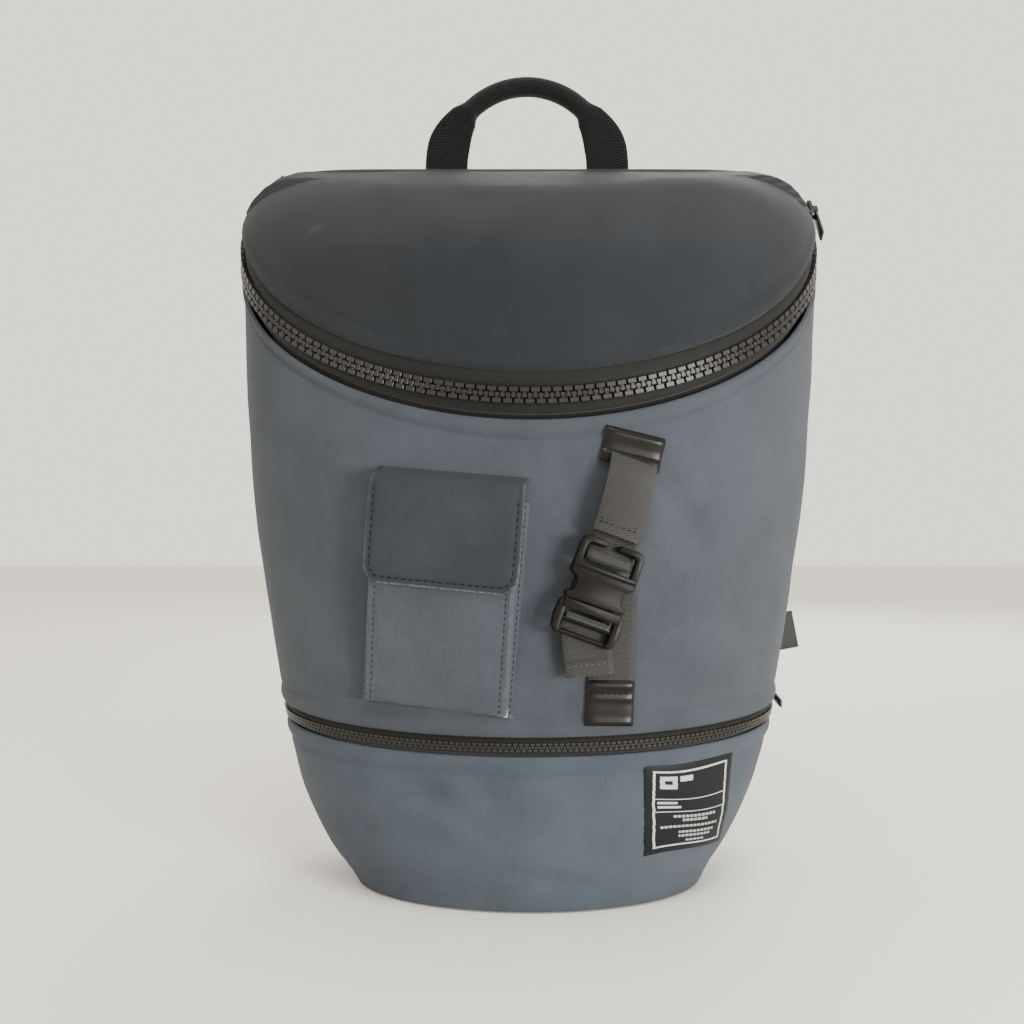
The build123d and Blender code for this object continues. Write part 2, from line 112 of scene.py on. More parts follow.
def make_floor():
    bm = bmesh.new()
    bmesh.ops.create_grid(bm, x_segments=1, y_segments=1, size=FLOOR_SIZE)
    bmesh.ops.translate(bm, verts=bm.verts, vec=(0, 0, -FLOOR_DROP))
    mesh = bpy.data.meshes.new("floor")
    bm.to_mesh(mesh)
    bm.free()
    floor = add("floor", mesh)
    paint = bpy.data.materials.new("floor_paint")
    paint.use_nodes = True
    look = paint.node_tree.nodes["Principled BSDF"].inputs
    look["Base Color"].default_value, look["Roughness"].default_value = (0.8, 0.775, 0.71, 1), 0.8
    mesh.materials.append(paint)


make_floor()

# %% [markdown]
# ## Shader maths as Python
# A finish is a graph of nodes. Wrapping a socket in a small class lets the graph be
# written as ordinary expressions, so `1 - mask * 0.5` adds two Math nodes and wires them.


# %% Finish and Wire
class Wire:
    """One output socket that Python operators can be used on."""

    def __init__(self, finish, socket):
        self.finish, self.socket = finish, socket

    def _math(self, operation, *values):
        return self.finish.node("ShaderNodeMath", dict(operation=operation), *values)

    def __add__(self, other):
        return self._math("ADD", self, other)

    def __sub__(self, other):
        return self._math("SUBTRACT", self, other)

    def __rsub__(self, other):
        return self._math("SUBTRACT", other, self)

    def __mul__(self, other):
        return self._math("MULTIPLY", self, other)

    def __gt__(self, other):
        return self._math("GREATER_THAN", self, other)

    def sine(self):
        return self._math("SINE", self)

    def size(self):
        return self._math("ABSOLUTE", self)

    def highest(self, other):
        return self._math("MAXIMUM", self, other)

    def part(self):
        return self._math("FRACT", self)

    def ramp(self, low, high):
        """0 below low, 1 above high, smooth between."""
        settings = dict(interpolation_type="SMOOTHSTEP", clamp=True)
        return self.finish.node("ShaderNodeMapRange", settings, self, low, high)

    __radd__, __rmul__ = __add__, __mul__


class Finish:
    """A material with one Principled shader, built by node() and Wire."""

    def __init__(self, name, colour, roughness, metallic=0.0, specular=0.5, sheen=0.0):
        self.material = bpy.data.materials.new(name)
        self.material.use_nodes = True
        self.tree = self.material.node_tree
        self.shader = self.tree.nodes["Principled BSDF"]
        plain = {"Base Color": (*colour, 1), "Roughness": roughness, "Metallic": metallic,
                 "Specular IOR Level": specular, "Sheen Weight": sheen}
        for key, value in plain.items():
            self.shader.inputs[key].default_value = value

    def node(self, kind, settings, *values, output=0):
        made = self.tree.nodes.new(kind)
        for key, value in settings.items():
            setattr(made, key, value)
        for socket, value in zip(made.inputs, values):
            if isinstance(value, Wire):
                self.tree.links.new(value.socket, socket)
            elif value is not None:
                socket.default_value = value
        return Wire(self, made.outputs[output])

    def place(self, what="Object"):
        made = self.tree.nodes.new("ShaderNodeTexCoord")
        return Wire(self, made.outputs[what])

    def axes(self, vector):
        made = self.tree.nodes.new("ShaderNodeSeparateXYZ")
        self.tree.links.new(vector.socket, made.inputs[0])
        return [Wire(self, out) for out in made.outputs]

    def grain(self, vector, scale, detail=3.0, roughness=0.55):
        return self.node("ShaderNodeTexNoise", {}, vector, None, scale, detail, roughness)

    def stretched(self, vector, scale):
        return self.node("ShaderNodeMapping", {}, vector, None, None, scale)

    def blend(self, mask, low, high):
        """Low colour where the mask is 0, high colour where it is 1."""
        made = self.tree.nodes.new("ShaderNodeMix")
        made.data_type = "RGBA"
        for socket, value in zip((made.inputs[0], made.inputs[6], made.inputs[7]), (mask, low, high)):
            if isinstance(value, Wire):
                self.tree.links.new(value.socket, socket)
            else:
                socket.default_value = (*value, 1) if isinstance(value, tuple) else value
        return Wire(self, made.outputs[2])

    def attribute(self, name):
        return self.node("ShaderNodeAttribute", dict(attribute_name=name), output=2)

    def set(self, **wires):
        for name, wire in wires.items():
            self.tree.links.new(wire.socket, self.shader.inputs[name.replace("_", " ")])

    def bump(self, height, distance, strength=1.0):
        made = self.tree.nodes.new("ShaderNodeBump")
        made.inputs["Strength"].default_value = strength
        made.inputs["Distance"].default_value = distance
        self.tree.links.new(height.socket, made.inputs["Height"])
        self.tree.links.new(made.outputs[0], self.shader.inputs["Normal"])


def weave(finish, pitch, across=1.0):
    """Height of a plain weave over a UV map in metres: warp and weft take turns on top."""
    u, v, _ = finish.axes(finish.place("UV"))
    turn = 2 * math.pi / pitch
    warp, weft = (u * (turn * across)).sine(), (v * turn).sine()
    over = (warp * weft) > 0
    return over * warp.size() + (1 - over) * weft.size()


print("shader helpers ready")

# %% [markdown]
# ## The cloth
# Waxed canvas is dyed cotton with wax rubbed into it. Close up it shows a plain weave,
# the wax makes clouds of lighter and darker blue-grey, and handling leaves pale rubs,
# most of all along edges. The small pale specks scattered over the cloth are partly such
# rubs and partly painted highlight, standing in for small glints on the wax. The rubs on
# an edge follow a "wear" attribute that each cloth piece carries, so they stay on the
# edge however it is folded.


# %% Canvas
def make_canvas(name, light, dark):
    finish = Finish(name, light, 0.62, specular=0.14, sheen=0.04)
    spot = finish.place("Object")
    broad = finish.grain(spot, 9.0, 4.0, 0.6).ramp(0.35, 0.68)
    small = finish.grain(spot, 38.0, 4.0, 0.6).ramp(0.3, 0.7)
    clouds = broad * 0.6 + small * 0.4
    streaks = finish.grain(finish.stretched(finish.place("UV"), (700, 90, 1)), 1.0, 2.0)
    slubs = finish.grain(finish.stretched(finish.place("UV"), (90, 900, 1)), 1.0, 2.0)
    threads = (streaks + slubs) * 0.5
    cloth = finish.blend(clouds * 0.6 + threads.ramp(0.3, 0.7) * 0.4, dark, light)
    # pale specks in the colour: partly rubs in the wax, partly painted highlight standing in for small
    # glints
    rubs_and_glints = finish.grain(spot, 60.0, 5.0, 0.7).ramp(0.62, 0.78) * finish.grain(spot, 7.0).ramp(0.45, 0.65)
    cloth = finish.blend(rubs_and_glints * 0.16, cloth, (0.16, 0.17, 0.18))
    wear = finish.attribute("wear") * finish.grain(spot, 420.0, 3.0).ramp(0.28, 0.6)
    cloth = finish.blend(wear * 0.6, cloth, (0.2, 0.21, 0.215))
    finish.set(Base_Color=cloth, Roughness=0.56 + threads * 0.22 - clouds * 0.05)
    finish.bump(weave(finish, 0.9 * MM) + finish.grain(spot, 260.0, 3.0) * 1.2, 0.2 * MM, 0.7)
    return finish.material


canvas = make_canvas("waxed_canvas", (0.054, 0.0635, 0.078), (0.032, 0.038, 0.048))
# the lid canvas: the body canvas made about four times darker, as painted shade for the lid, which faces
# away from the main lamps
lid_shaded_canvas = make_canvas("waxed_canvas_lid_painted_shade", (0.0135, 0.0165, 0.021), (0.0078, 0.0096, 0.0125))
# the base canvas, also used on the back and the underside: a lighter, slightly bluer copy of the body
# canvas, as painted light for the lower part of the bag
lit_base_canvas = make_canvas("waxed_canvas_base_painted_light", (0.056, 0.0705, 0.089), (0.034, 0.0435, 0.0575))
# the flap canvas: the body canvas at about half its brightness, as painted shade for the flap
shaded_flap_canvas = make_canvas("waxed_canvas_flap_painted_shade", (0.0245, 0.0285, 0.035), (0.0135, 0.016, 0.02))


def make_lining():
    finish = Finish("lining", (0.1, 0.105, 0.112), 0.7, specular=0.2, sheen=0.1)
    shade = finish.grain(finish.place("Object"), 12.0)
    finish.set(Base_Color=finish.blend(shade, (0.085, 0.09, 0.096), (0.115, 0.12, 0.128)))
    finish.bump(weave(finish, 0.6 * MM), 0.08 * MM, 0.5)
    return finish.material


lining = make_lining()
print("cloth finishes", canvas.name, lid_shaded_canvas.name, lining.name)

# %% [markdown]
# ## Tape, webbing, thread and plastic
# Nylon webbing has thick ribs across it that catch the light; the lit crests and shaded
# valleys of the ribs are painted into its colour as pale and dark bands. Zip tape is the
# same weave but finer, with its ribs painted the same way. The plastics are satin and
# almost black, with a faint moulded texture, and the coated anchor tape shines. Thread is
# waxed and darker than the cloth it lies on.


# %% Narrow goods and plastics
def make_ribbed(name, colour, pale, pitch, shine, depth, specular=0.5):
    finish = Finish(name, colour, shine, specular=specular, sheen=0.1)
    u, v, _ = finish.axes(finish.place("UV"))
    turn = v * (2 * math.pi / (pitch * MM))
    offset = ((u * (1 / (2.2 * pitch * MM))).part() > 0.5) * math.pi
    ribs = (turn + offset).sine() * 0.5 + 0.5
    fuzz = finish.grain(finish.place("Object"), 700.0, 2.0)
    # the rib crests are painted pale and the valleys dark: painted highlight and painted shade of the rib
    # relief; the fuzz is real tone
    rib_light_and_fuzz = ribs * 0.7 + fuzz * 0.3 + turn.sine() * 0.02
    finish.set(Base_Color=finish.blend(rib_light_and_fuzz.ramp(0.2, 0.9), colour, pale),
               Roughness=shine + 0.12 - rib_light_and_fuzz * 0.2)
    finish.bump(ribs + fuzz * 0.5, depth * MM, 0.8)
    return finish.material


# the second colour of each ribbed finish is the painted highlight on the rib crests
webbing = make_ribbed(
    "nylon_webbing", (0.0045, 0.0044, 0.0041), (0.021, 0.0203, 0.0185), 1.3, 0.42, 0.25, 0.24)
handle_webbing = make_ribbed(
    "handle_webbing_nylon", (0.0018, 0.0022, 0.0024), (0.007, 0.0076, 0.0078), 1.8, 0.7, 0.3, 0.06)
zip_cloth = make_ribbed(
    "zip_tape_cloth", (0.0025, 0.0025, 0.0024), (0.009, 0.0085, 0.008), 0.9, 0.62, 0.12, 0.12)
strap_cloth = make_canvas("strap_canvas", (0.02, 0.023, 0.028), (0.013, 0.015, 0.019))
tape_cloth = make_ribbed(
    "piping_cloth", (0.004, 0.0045, 0.0055), (0.012, 0.013, 0.015), 0.9, 0.6, 0.12, 0.15)


def make_plastic(name, colour, shine, speckle=0.3, metallic=0.0, specular=0.4):
    finish = Finish(name, colour, shine, metallic=metallic, specular=specular)
    spot = finish.place("Object")
    fine, broad = finish.grain(spot, 2600.0, 2.0), finish.grain(spot, 90.0)
    rub = finish.grain(spot, 240.0, 4.0, 0.7).ramp(0.6, 0.8)
    finish.set(Base_Color=finish.blend(rub * 0.35 + broad * 0.2, colour, tuple(c * 2.2 for c in colour)),
               Roughness=shine - 0.08 + broad * 0.2 + fine * 0.06)
    finish.bump(fine, 0.03 * MM, speckle)
    return finish.material


buckle_plastic = make_plastic("buckle_plastic", (0.0042, 0.0036, 0.0027), 0.38, specular=0.1)
teeth_plastic = make_plastic("zip_teeth_plastic", (0.009, 0.0082, 0.0068), 0.26, specular=0.3)
zip_metal = make_plastic("zip_gunmetal", (0.035, 0.034, 0.034), 0.36, 0.2, 0.9)
anchor_tape = make_plastic("anchor_tape_coated", (0.0042, 0.0038, 0.0032), 0.27, 0.4, specular=0.16)
thread = make_plastic("thread_dark", (0.0045, 0.0052, 0.007), 0.7, specular=0.1)
shiny_thread = make_plastic("thread_black", (0.03, 0.0285, 0.0265), 0.35)
pale_thread = make_plastic("thread_worn", (0.3, 0.3, 0.29), 0.7)


def make_mesh_cloth():
    """Spacer mesh: a knitted face with rows of small open holes, each painted near black as the shade
    inside it.
    """
    finish = Finish("back_spacer_mesh", (0.009, 0.01, 0.012), 0.75, specular=0.1, sheen=0.06)
    x, _, z = finish.axes(finish.place("Object"))
    pitch = 3.2 * MM
    row = (z * (1 / pitch)).part() - 0.5
    shift = ((z * (0.5 / pitch)).part() > 0.5) * 0.5
    column = (x * (1 / pitch) + shift).part() - 0.5
    hole = 1 - (row * row + column * column).ramp(0.03, 0.09)
    fuzz = finish.grain(finish.place("Object"), 900.0, 2.0)
    # the near-black colour in the holes is painted shade for the depth of the knit
    finish.set(Base_Color=finish.blend(hole, (0.009, 0.01, 0.012), (0.0015, 0.0015, 0.002)),
               Roughness=0.7 + fuzz * 0.2)
    finish.bump(fuzz * 0.4 - hole, 0.7 * MM, 0.8)
    return finish.material


back_mesh = make_mesh_cloth()


def make_label_finish():
    """Black satin with a pale frame, rules and blocks, placed on the label's own map."""
    finish = Finish("label_woven", (0.006, 0.007, 0.009), 0.5, specular=0.1)
    u, v, _ = finish.axes(finish.place("UV"))
    # the drawing is 50 wide and 60 tall, on a label of 60 by 53 mm
    u, v = u * (50 / (60 * MM)), v * (60 / (53 * MM))

    def inside(x0, x1, y0, y1):
        return (u > x0) * (1 - (u > x1)) * (v > y0) * (1 - (v > y1))

    rules = [(5, 45, 36.5, 37.1), (5, 45, 27.6, 28.2)]
    blocks = [(7.5, 16.5, 44, 52.5), (18, 25, 49, 52.5), (6.5, 17, 33.4, 35), (6.5, 19, 30.4, 32)]
    dashed = [(15, 40, 23.6, 25.4), (20, 35, 20.8, 22.6), (8, 42, 16.6, 18.2),
              (18, 40, 12.6, 14.2), (18, 38, 9.8, 11.4), (22, 34, 6.6, 8.0)]
    marks = inside(4, 46, 4, 56) - inside(5.2, 44.8, 5.2, 54.8)
    for box in rules + blocks:
        marks = marks.highest(inside(*box))
    for box in dashed:
        dashes = ((u * 0.42).part() > 0.22) * inside(*box)
        marks = marks.highest(dashes * 0.8)
    marks = marks - inside(10, 14, 47, 49.6)
    wear = finish.grain(finish.place("Object"), 900.0, 3.0)
    woven = finish.blend(marks * (0.75 + wear * 0.35), (0.0065, 0.0078, 0.0095), (0.36, 0.37, 0.365))
    finish.set(Base_Color=woven, Roughness=0.36 + wear * 0.2 + marks * 0.15)
    threads = ((u * 9.0).sine() + (v * 9.0).sine()) * 0.25 + marks * 0.5
    finish.bump(threads, 0.1 * MM, 0.5)
    return finish.material


label = make_label_finish()
print("narrow goods and plastics done")

# %% [markdown]
# ## The bag's form
# Cloth over stuffing has no flat faces, so the form is written as a distance: how far a
# point is outside the bag. Half an ellipse makes the front, a flat panel with round
# corners makes the back, and a sloping plane makes the top, joined by a round. A ray from
# inside then finds the surface, in any direction, which is all that the later steps need.

# %% Distance to the bag
LEVELS = np.array([  # height, half width, front, back, in millimetres
    (0, 98, -56, 62), (12, 112, -66, 66), (50, 133, -76, 68), (100, 146, -82, 68),
    (160, 156, -85, 68), (220, 163, -86, 68), (300, 171, -86, 68), (450, 173, -86, 68)], float)
WIDEST_Y, CORNER = 8.0, 30.0
TOP_Z, TOP_Y, TOP_SLOPE = 446.0, 68.0, math.radians(20)
RIM, SIDE_RIM = 46.0, 30.0  # round between the top and the front, and the top and the sides
RAY_REACH, HALVINGS = 700.0, 26  # how far a ray looks for the form, and how often that is halved


def level(z, column):
    """One column of LEVELS at height z, with its corners eased."""
    reach = np.array([-14.0, -7.0, 0.0, 7.0, 14.0])
    return np.mean([np.interp(z + step, LEVELS[:, 0], LEVELS[:, column]) for step in reach], axis=0)


def meet(one, two, radius):
    """Both distances must be inside; the edge between them is rounded."""
    outside = np.hypot(np.maximum(one + radius, 0), np.maximum(two + radius, 0))
    return np.minimum(-radius, np.maximum(one, two)) + outside


def distance(p):
    """Millimetres outside the bag, for an array of points in millimetres."""
    x, y, z = np.abs(p[:, 0]), p[:, 1], p[:, 2]
    wide, front, back = level(z, 1), level(z, 2), level(z, 3)
    nose = WIDEST_Y - front
    ellipse = (np.hypot(x / wide, (y - WIDEST_Y) / nose) - 1) * np.minimum(wide, nose)
    wall = np.where(y < WIDEST_Y, ellipse, x - wide)
    top = (z - TOP_Z + (TOP_Y - y) * math.tan(TOP_SLOPE)) * math.cos(TOP_SLOPE)
    hood = meet(wall, top, np.interp(y, [-60, 10], [RIM, SIDE_RIM]))
    return meet(hood, y - back, np.interp(z, [370, 435], [CORNER, 8.0]))


def cast(start, way, out=0.0):
    """Where rays from inside the bag come out of its form, grown by out."""
    near, far = np.zeros(len(way)), np.full(len(way), RAY_REACH)
    for _ in range(HALVINGS):
        middle = (near + far) / 2
        inside = distance(start + way * middle[:, None]) < out
        near, far = np.where(inside, middle, near), np.where(inside, far, middle)
    return start + way * near[:, None]


def fit_check():
    lid_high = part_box("lid_canvas")[1]
    spot = cast(np.array([[0.0, 0.0, 380.0]]), np.array([[1.0, 0.0, 0.0]]))
    print("half width at 380 mm:", round(spot[0, 0], 1), "CAD lid", round(lid_high[0] / MM, 1))


fit_check()

# %% [markdown]
# ## Soft creases
# A bag that is packed and leaned on has dents and drag lines. Each one is a short stroke
# over the cloth, with a width and a depth, and slow noise adds the unevenness between.

# %% Folds
FOLDS = [  # start x, z, end x, z, width, height, all in millimetres
    (-130, 312, -28, 268, 7, 1.1), (-118, 322, -20, 276, 6, -1.2), (60, 262, 150, 300, 8, 1.0),
    (66, 246, 92, 205, 7, -1.8), (78, 246, 112, 190, 9, 1.6), (52, 246, 66, 214, 6, 1.2),
    (-72, 74, -34, 58, 9, -3.4), (-64, 58, -30, 44, 8, 2.2), (-40, 84, -10, 60, 10, -2.0),
    (-10, 22, 34, 16, 6, -2.4), (20, 44, 52, 26, 8, -1.8), (-100, 60, -84, 30, 9, -2.2),
    (6, 150, 14, 120, 7, 1.4), (8, 128, 22, 112, 5, -1.4), (70, 160, 130, 120, 16, 2.0),
    (96, 220, 140, 160, 14, -1.8), (-140, 200, -118, 130, 12, -1.6), (-110, 250, -98, 140, 10, 1.0),
    (-90, 400, 20, 392, 16, -2.0), (-150, 372, -60, 352, 14, 1.6), (10, 372, 120, 384, 14, -1.6),
    (60, 410, 150, 396, 12, 1.8), (-60, 340, 40, 322, 12, 1.2)]


def crease(p):
    """How far soft folds lift the front of the bag at each point, in millimetres."""
    lift = np.zeros(len(p))
    for x0, z0, x1, z1, wide, high in FOLDS:
        run = np.array([x1 - x0, z1 - z0], float)
        rel = np.stack([p[:, 0] - x0, p[:, 2] - z0], axis=1)
        along = np.clip(rel @ run / (run @ run), -0.2, 1.2)
        gap = np.linalg.norm(rel - along[:, None] * run, axis=1)
        ends = np.clip(1 - np.abs(along - 0.5) * 1.4, 0, 1)
        lift += high * np.exp(-(gap / wide) ** 2) * ends
    slow = np.array([noise.noise(Vector(q) * 0.011) for q in p])
    fine = np.array([noise.noise(Vector(q) * 0.035 + Vector((9, 4, 2))) for q in p])
    front = np.clip((30 - p[:, 1]) / 60, 0, 1)
    return (lift + fine * 0.8) * front + slow * 2.2


print("folds", len(FOLDS))

# %% [markdown]
# ## From points to cloth
# Every soft part here starts as a bmesh grid. Its rows and columns are then moved onto
# points that were worked out on the bag's form, and a Solidify modifier gives the sheet
# its thickness. The UV map is in metres, so a weave keeps its true size on every piece.


# %% Sheets from grids
def unit(ways):
    """Rows of directions, each made one long."""
    return ways / np.linalg.norm(ways, axis=1, keepdims=True)


def run_of(line):
    """How far along a line each of its points is."""
    return np.concatenate([[0], np.cumsum(np.linalg.norm(np.diff(line, axis=0), axis=1))])


def follow(spots, run, line):
    """Points of a line, or any rows of three, at some distances along its run."""
    return np.stack([np.interp(spots, run, line[:, axis]) for axis in range(3)], axis=1)


def even(line, count):
    """The line again as evenly spaced points, and its length."""
    run = run_of(line)
    return follow(np.linspace(0, run[-1], count), run, line), run[-1]


def link(name, bm, smooth=True):
    """A finished bmesh as an object at the origin."""
    mesh = bpy.data.meshes.new(name)
    bm.to_mesh(mesh)
    bm.free()
    mesh.polygons.foreach_set("use_smooth", [smooth] * len(mesh.polygons))
    return add(name, mesh)


def dress(piece, body, materials, replaces=()):
    """Materials, the CAD body the piece rides on and what it stands for."""
    for material in materials:
        piece.data.materials.append(material)
    if body:
        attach(piece, body)
    if replaces:
        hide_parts(*replaces)
    return piece


def cells_of(bm, rows, columns):
    """The row and column of every vertex of a unit grid."""
    return [(round((v.co.y + 0.5) * (rows - 1)), round((v.co.x + 0.5) * (columns - 1))) for v in bm.verts]


def cloth(name, points, size, thick, body, slot, materials, replaces=(), wear=None,
          flip=False, offset=-1, round_edge=0.0):
    """A cloth sheet through a grid of points (rows, columns, 3), all in millimetres."""
    rows, columns = points.shape[:2]
    bm = bmesh.new()
    bmesh.ops.create_grid(bm, x_segments=columns - 1, y_segments=rows - 1, size=0.5, calc_uvs=True)
    cells = cells_of(bm, rows, columns)
    bm.verts.index_update()
    uv = bm.loops.layers.uv.verify()
    worn = bm.verts.layers.float.new("wear")
    for face in bm.faces:
        for loop in face.loops:
            row, column = cells[loop.vert.index]
            loop[uv].uv = (column / (columns - 1) * size[0] * MM, row / (rows - 1) * size[1] * MM)
    for vert, (row, column) in zip(bm.verts, cells):
        vert.co = Vector(points[row, column]) * MM
        vert[worn] = 0.0 if wear is None else float(wear[row, column])
    if flip:
        bmesh.ops.reverse_faces(bm, faces=bm.faces)
    piece = link(name, bm)
    if thick:
        shell = piece.modifiers.new("thickness", "SOLIDIFY")
        shell.thickness, shell.offset = thick * MM, offset
        shell.material_offset = len(materials) - 1
    if round_edge:
        edge = piece.modifiers.new("edge", "BEVEL")
        edge.width, edge.segments = round_edge * MM, 2
        edge.limit_method, edge.angle_limit = "ANGLE", 1.2
    return dress(piece, body, materials, replaces)


def normals_at(points):
    """Which way the bag's form faces at each point."""
    flat = points.reshape(-1, 3)
    steps = np.eye(3) * 0.5
    slope = np.stack([distance(flat + step) - distance(flat - step) for step in steps], axis=1)
    slope /= np.maximum(np.linalg.norm(slope, axis=1, keepdims=True), 1e-9)
    return slope.reshape(points.shape)


print("cloth helpers ready")

# %% [markdown]
# ## Slices and seams
# Each zip lies in one tilted plane. A ring is the cut of that plane through the form, and
# its points are evenly spaced from the right back seam round the front to the left one.
# A ring can be shifted off the zip's plane. Behind the zip's end that shift closes to
# nothing, because there the two panels are sewn straight to each other.

# %% Rings
MAIN = (66.0, TOP_Z, math.radians(47.3))     # a point on the seam, y and z, and its slope
LOWER = (-82.0, 95.0, math.radians(6.0))
FLOOR = (-82.0, 0.8, 0.0)
FOCUS_Y, BACK_SEAM_Y = 4.0, 65.0
MAIN_EDGE, LOWER_EDGE = 8.5, 5.0             # canvas edge from the middle of each zip
ZIP_END_Y = 59.0
SWEEP, RAYS = (62, -242), 700                # degrees of a ring's rays, and how many there are


def ring(seam, shift, count, out=0.0, back=BACK_SEAM_Y, closing=1.0):
    """Points round the front on a seam's plane moved up by shift, and the length round."""
    y0, z0, slope = seam
    turn = np.radians(np.linspace(*SWEEP, RAYS))
    way = np.stack([np.cos(turn), np.sin(turn) * math.cos(slope), np.sin(turn) * math.sin(slope)], axis=1)
    height = z0 + (FOCUS_Y - y0) * math.tan(slope)
    start = np.tile([0.0, FOCUS_Y, height], (len(way), 1))
    depth = cast(start, way, out)[:, 1]
    eased = shift * np.interp(depth, [ZIP_END_Y - 14, ZIP_END_Y + 4], [1, closing])
    start[:, 2] += eased / math.cos(slope)
    points = cast(start, way, out)
    front = int(np.argmin(points[:, 1]))
    # a cut that leaves over the top never reaches the seam, so it ends at the corner
    back = min(back, points[:, 1].max() - 0.9)
    right = np.where(points[:front, 1] > back)[0]
    left = np.where(points[front:, 1] > back)[0]
    first = right[-1] + 1 if len(right) else 0
    last = front + left[0] if len(left) else len(points)
    return even(points[first:last], count)


def blend_seam(low, high, share):
    """A seam between two seams: its height in the middle and its slope are both mixed."""
    under, over = [z + (FOCUS_Y - y) * math.tan(slope) for y, z, slope in (low, high)]
    return FOCUS_Y, under + (over - under) * share, low[2] + (high[2] - low[2]) * share


print("main and lower seam are", [round(ring(seam, 0, 50)[1]) for seam in (MAIN, LOWER)], "mm round")

# %% [markdown]
# ## Canvas body and base
# Between the zips the canvas is one panel that wraps the front and both sides. Its rings
# fan from the lower zip's slope to the main zip's. Near each zip the cloth is folded
# under and stitched, which leaves a full, rounded edge and a shallow groove beside it.

# %% Wrapping panels
COLUMNS = 220
CANVAS_THICK = 1.6


def edge_shape(gap):
    """Lift of a turned hem at a distance from the fold, in millimetres."""
    full = 0.9 * np.exp(-((gap - 5.0) / 3.5) ** 2)
    groove = 0.7 * np.exp(-((gap - 11.0) / 1.6) ** 2)
    return full - groove - 1.5 * np.clip(1 - gap / 2.2, 0, 1) ** 2


def wrap(low, low_shift, high, high_shift, rows, hems=(True, True), closings=(1.0, 0.08)):
    """Points between two seams with hems and creases, their size, and where they are worn."""
    share = np.linspace(0, 1, rows)
    share = share - 0.5 * np.sin(2 * np.pi * share) / (2 * np.pi)
    lines, widths = [], []
    for part in share:
        seam = blend_seam(low, high, part)
        shift = low_shift * (1 - part) + high_shift * part
        closing = closings[0] * (1 - part) + closings[1] * part
        line, width = ring(seam, shift, COLUMNS, closing=closing)
        lines.append(line)
        widths.append(width)
    points = np.array(lines)
    steps = np.linalg.norm(np.diff(points, axis=0), axis=2)
    from_low = np.vstack([np.zeros(COLUMNS), np.cumsum(steps, axis=0)])
    from_high = from_low[-1] - from_low
    lift = crease(points.reshape(-1, 3)).reshape(rows, COLUMNS)
    wear = np.zeros((rows, COLUMNS))
    for gap, hemmed in ((from_low, hems[0]), (from_high, hems[1])):
        lift *= np.interp(gap, [0, 14], [0.1, 1])
        if hemmed:
            lift += edge_shape(gap)
            wear += 0.12 * np.clip(1 - gap / 2.0, 0, 1)
    lift *= np.interp(np.arange(COLUMNS), [0, 8, COLUMNS - 9, COLUMNS - 1], [0, 1, 1, 0])
    points = points + normals_at(points) * lift[:, :, None]
    return points, (max(widths), float(from_low[-1].max())), wear


body_points, body_size, body_wear = wrap(LOWER, LOWER_EDGE, MAIN, -MAIN_EDGE, 124)
cloth("body_shell", body_points, body_size, CANVAS_THICK, "root", "canvas", [canvas, lining],
      ["body_canvas", "body_lining"], body_wear, flip=True)
base_points, base_size, base_wear = wrap(FLOOR, 0.0, LOWER, -LOWER_EDGE, 56, (False, True), (1, 1))
cloth("base_shell", base_points, base_size, CANVAS_THICK, "root", "canvas", [lit_base_canvas, lining],
      ["base_canvas"], base_wear, flip=True)
print("body panel", [round(s) for s in body_size], "base panel", [round(s) for s in base_size])

# %% [markdown]
# ## Lid and underside
# Both of these fill a closed rim. A polar grid would pinch at its middle, so a square
# grid is bent onto a disc instead: its centre lines stay straight and its corners are
# eased onto the circle. For the lid each point is a ray from inside the hood to the form.

# %% Filled rims
CELLS = 130
LID_BACK_Y, LID_FOCUS = 64.5, np.array([0.0, -4.0, 366.0])


def disc(rim, cells):
    """For a square grid bent onto a disc: the rim point each cell leans to, and its reach."""
    s, t = np.meshgrid(np.linspace(-1, 1, cells + 1), np.linspace(-1, 1, cells + 1))
    dx, dy = s * np.sqrt(1 - t * t / 2), t * np.sqrt(1 - s * s / 2)
    reach = np.clip(np.hypot(dx, dy), 0, 1)
    closed = np.vstack([rim, rim[:1]])
    run = run_of(closed)
    # angle zero is at the right widest point: the rim runs clockwise seen from above
    around = (-np.arctan2(dy, dx) / (2 * np.pi)) % 1.0
    zero = run[int(np.argmax(rim[:, 0]))]
    spots = (zero + around.ravel() * run[-1]) % run[-1]
    return follow(spots, run, closed), reach.ravel()[:, None]


def close_rim(front, corner, back_y, back_z):
    """The front ring joined along a straight back line, corner to corner."""
    spots = np.linspace(-1, 1, 240)[:, None]
    back = np.hstack([spots * corner, np.full_like(spots, back_y), np.full_like(spots, back_z)])
    return np.vstack([front, back])


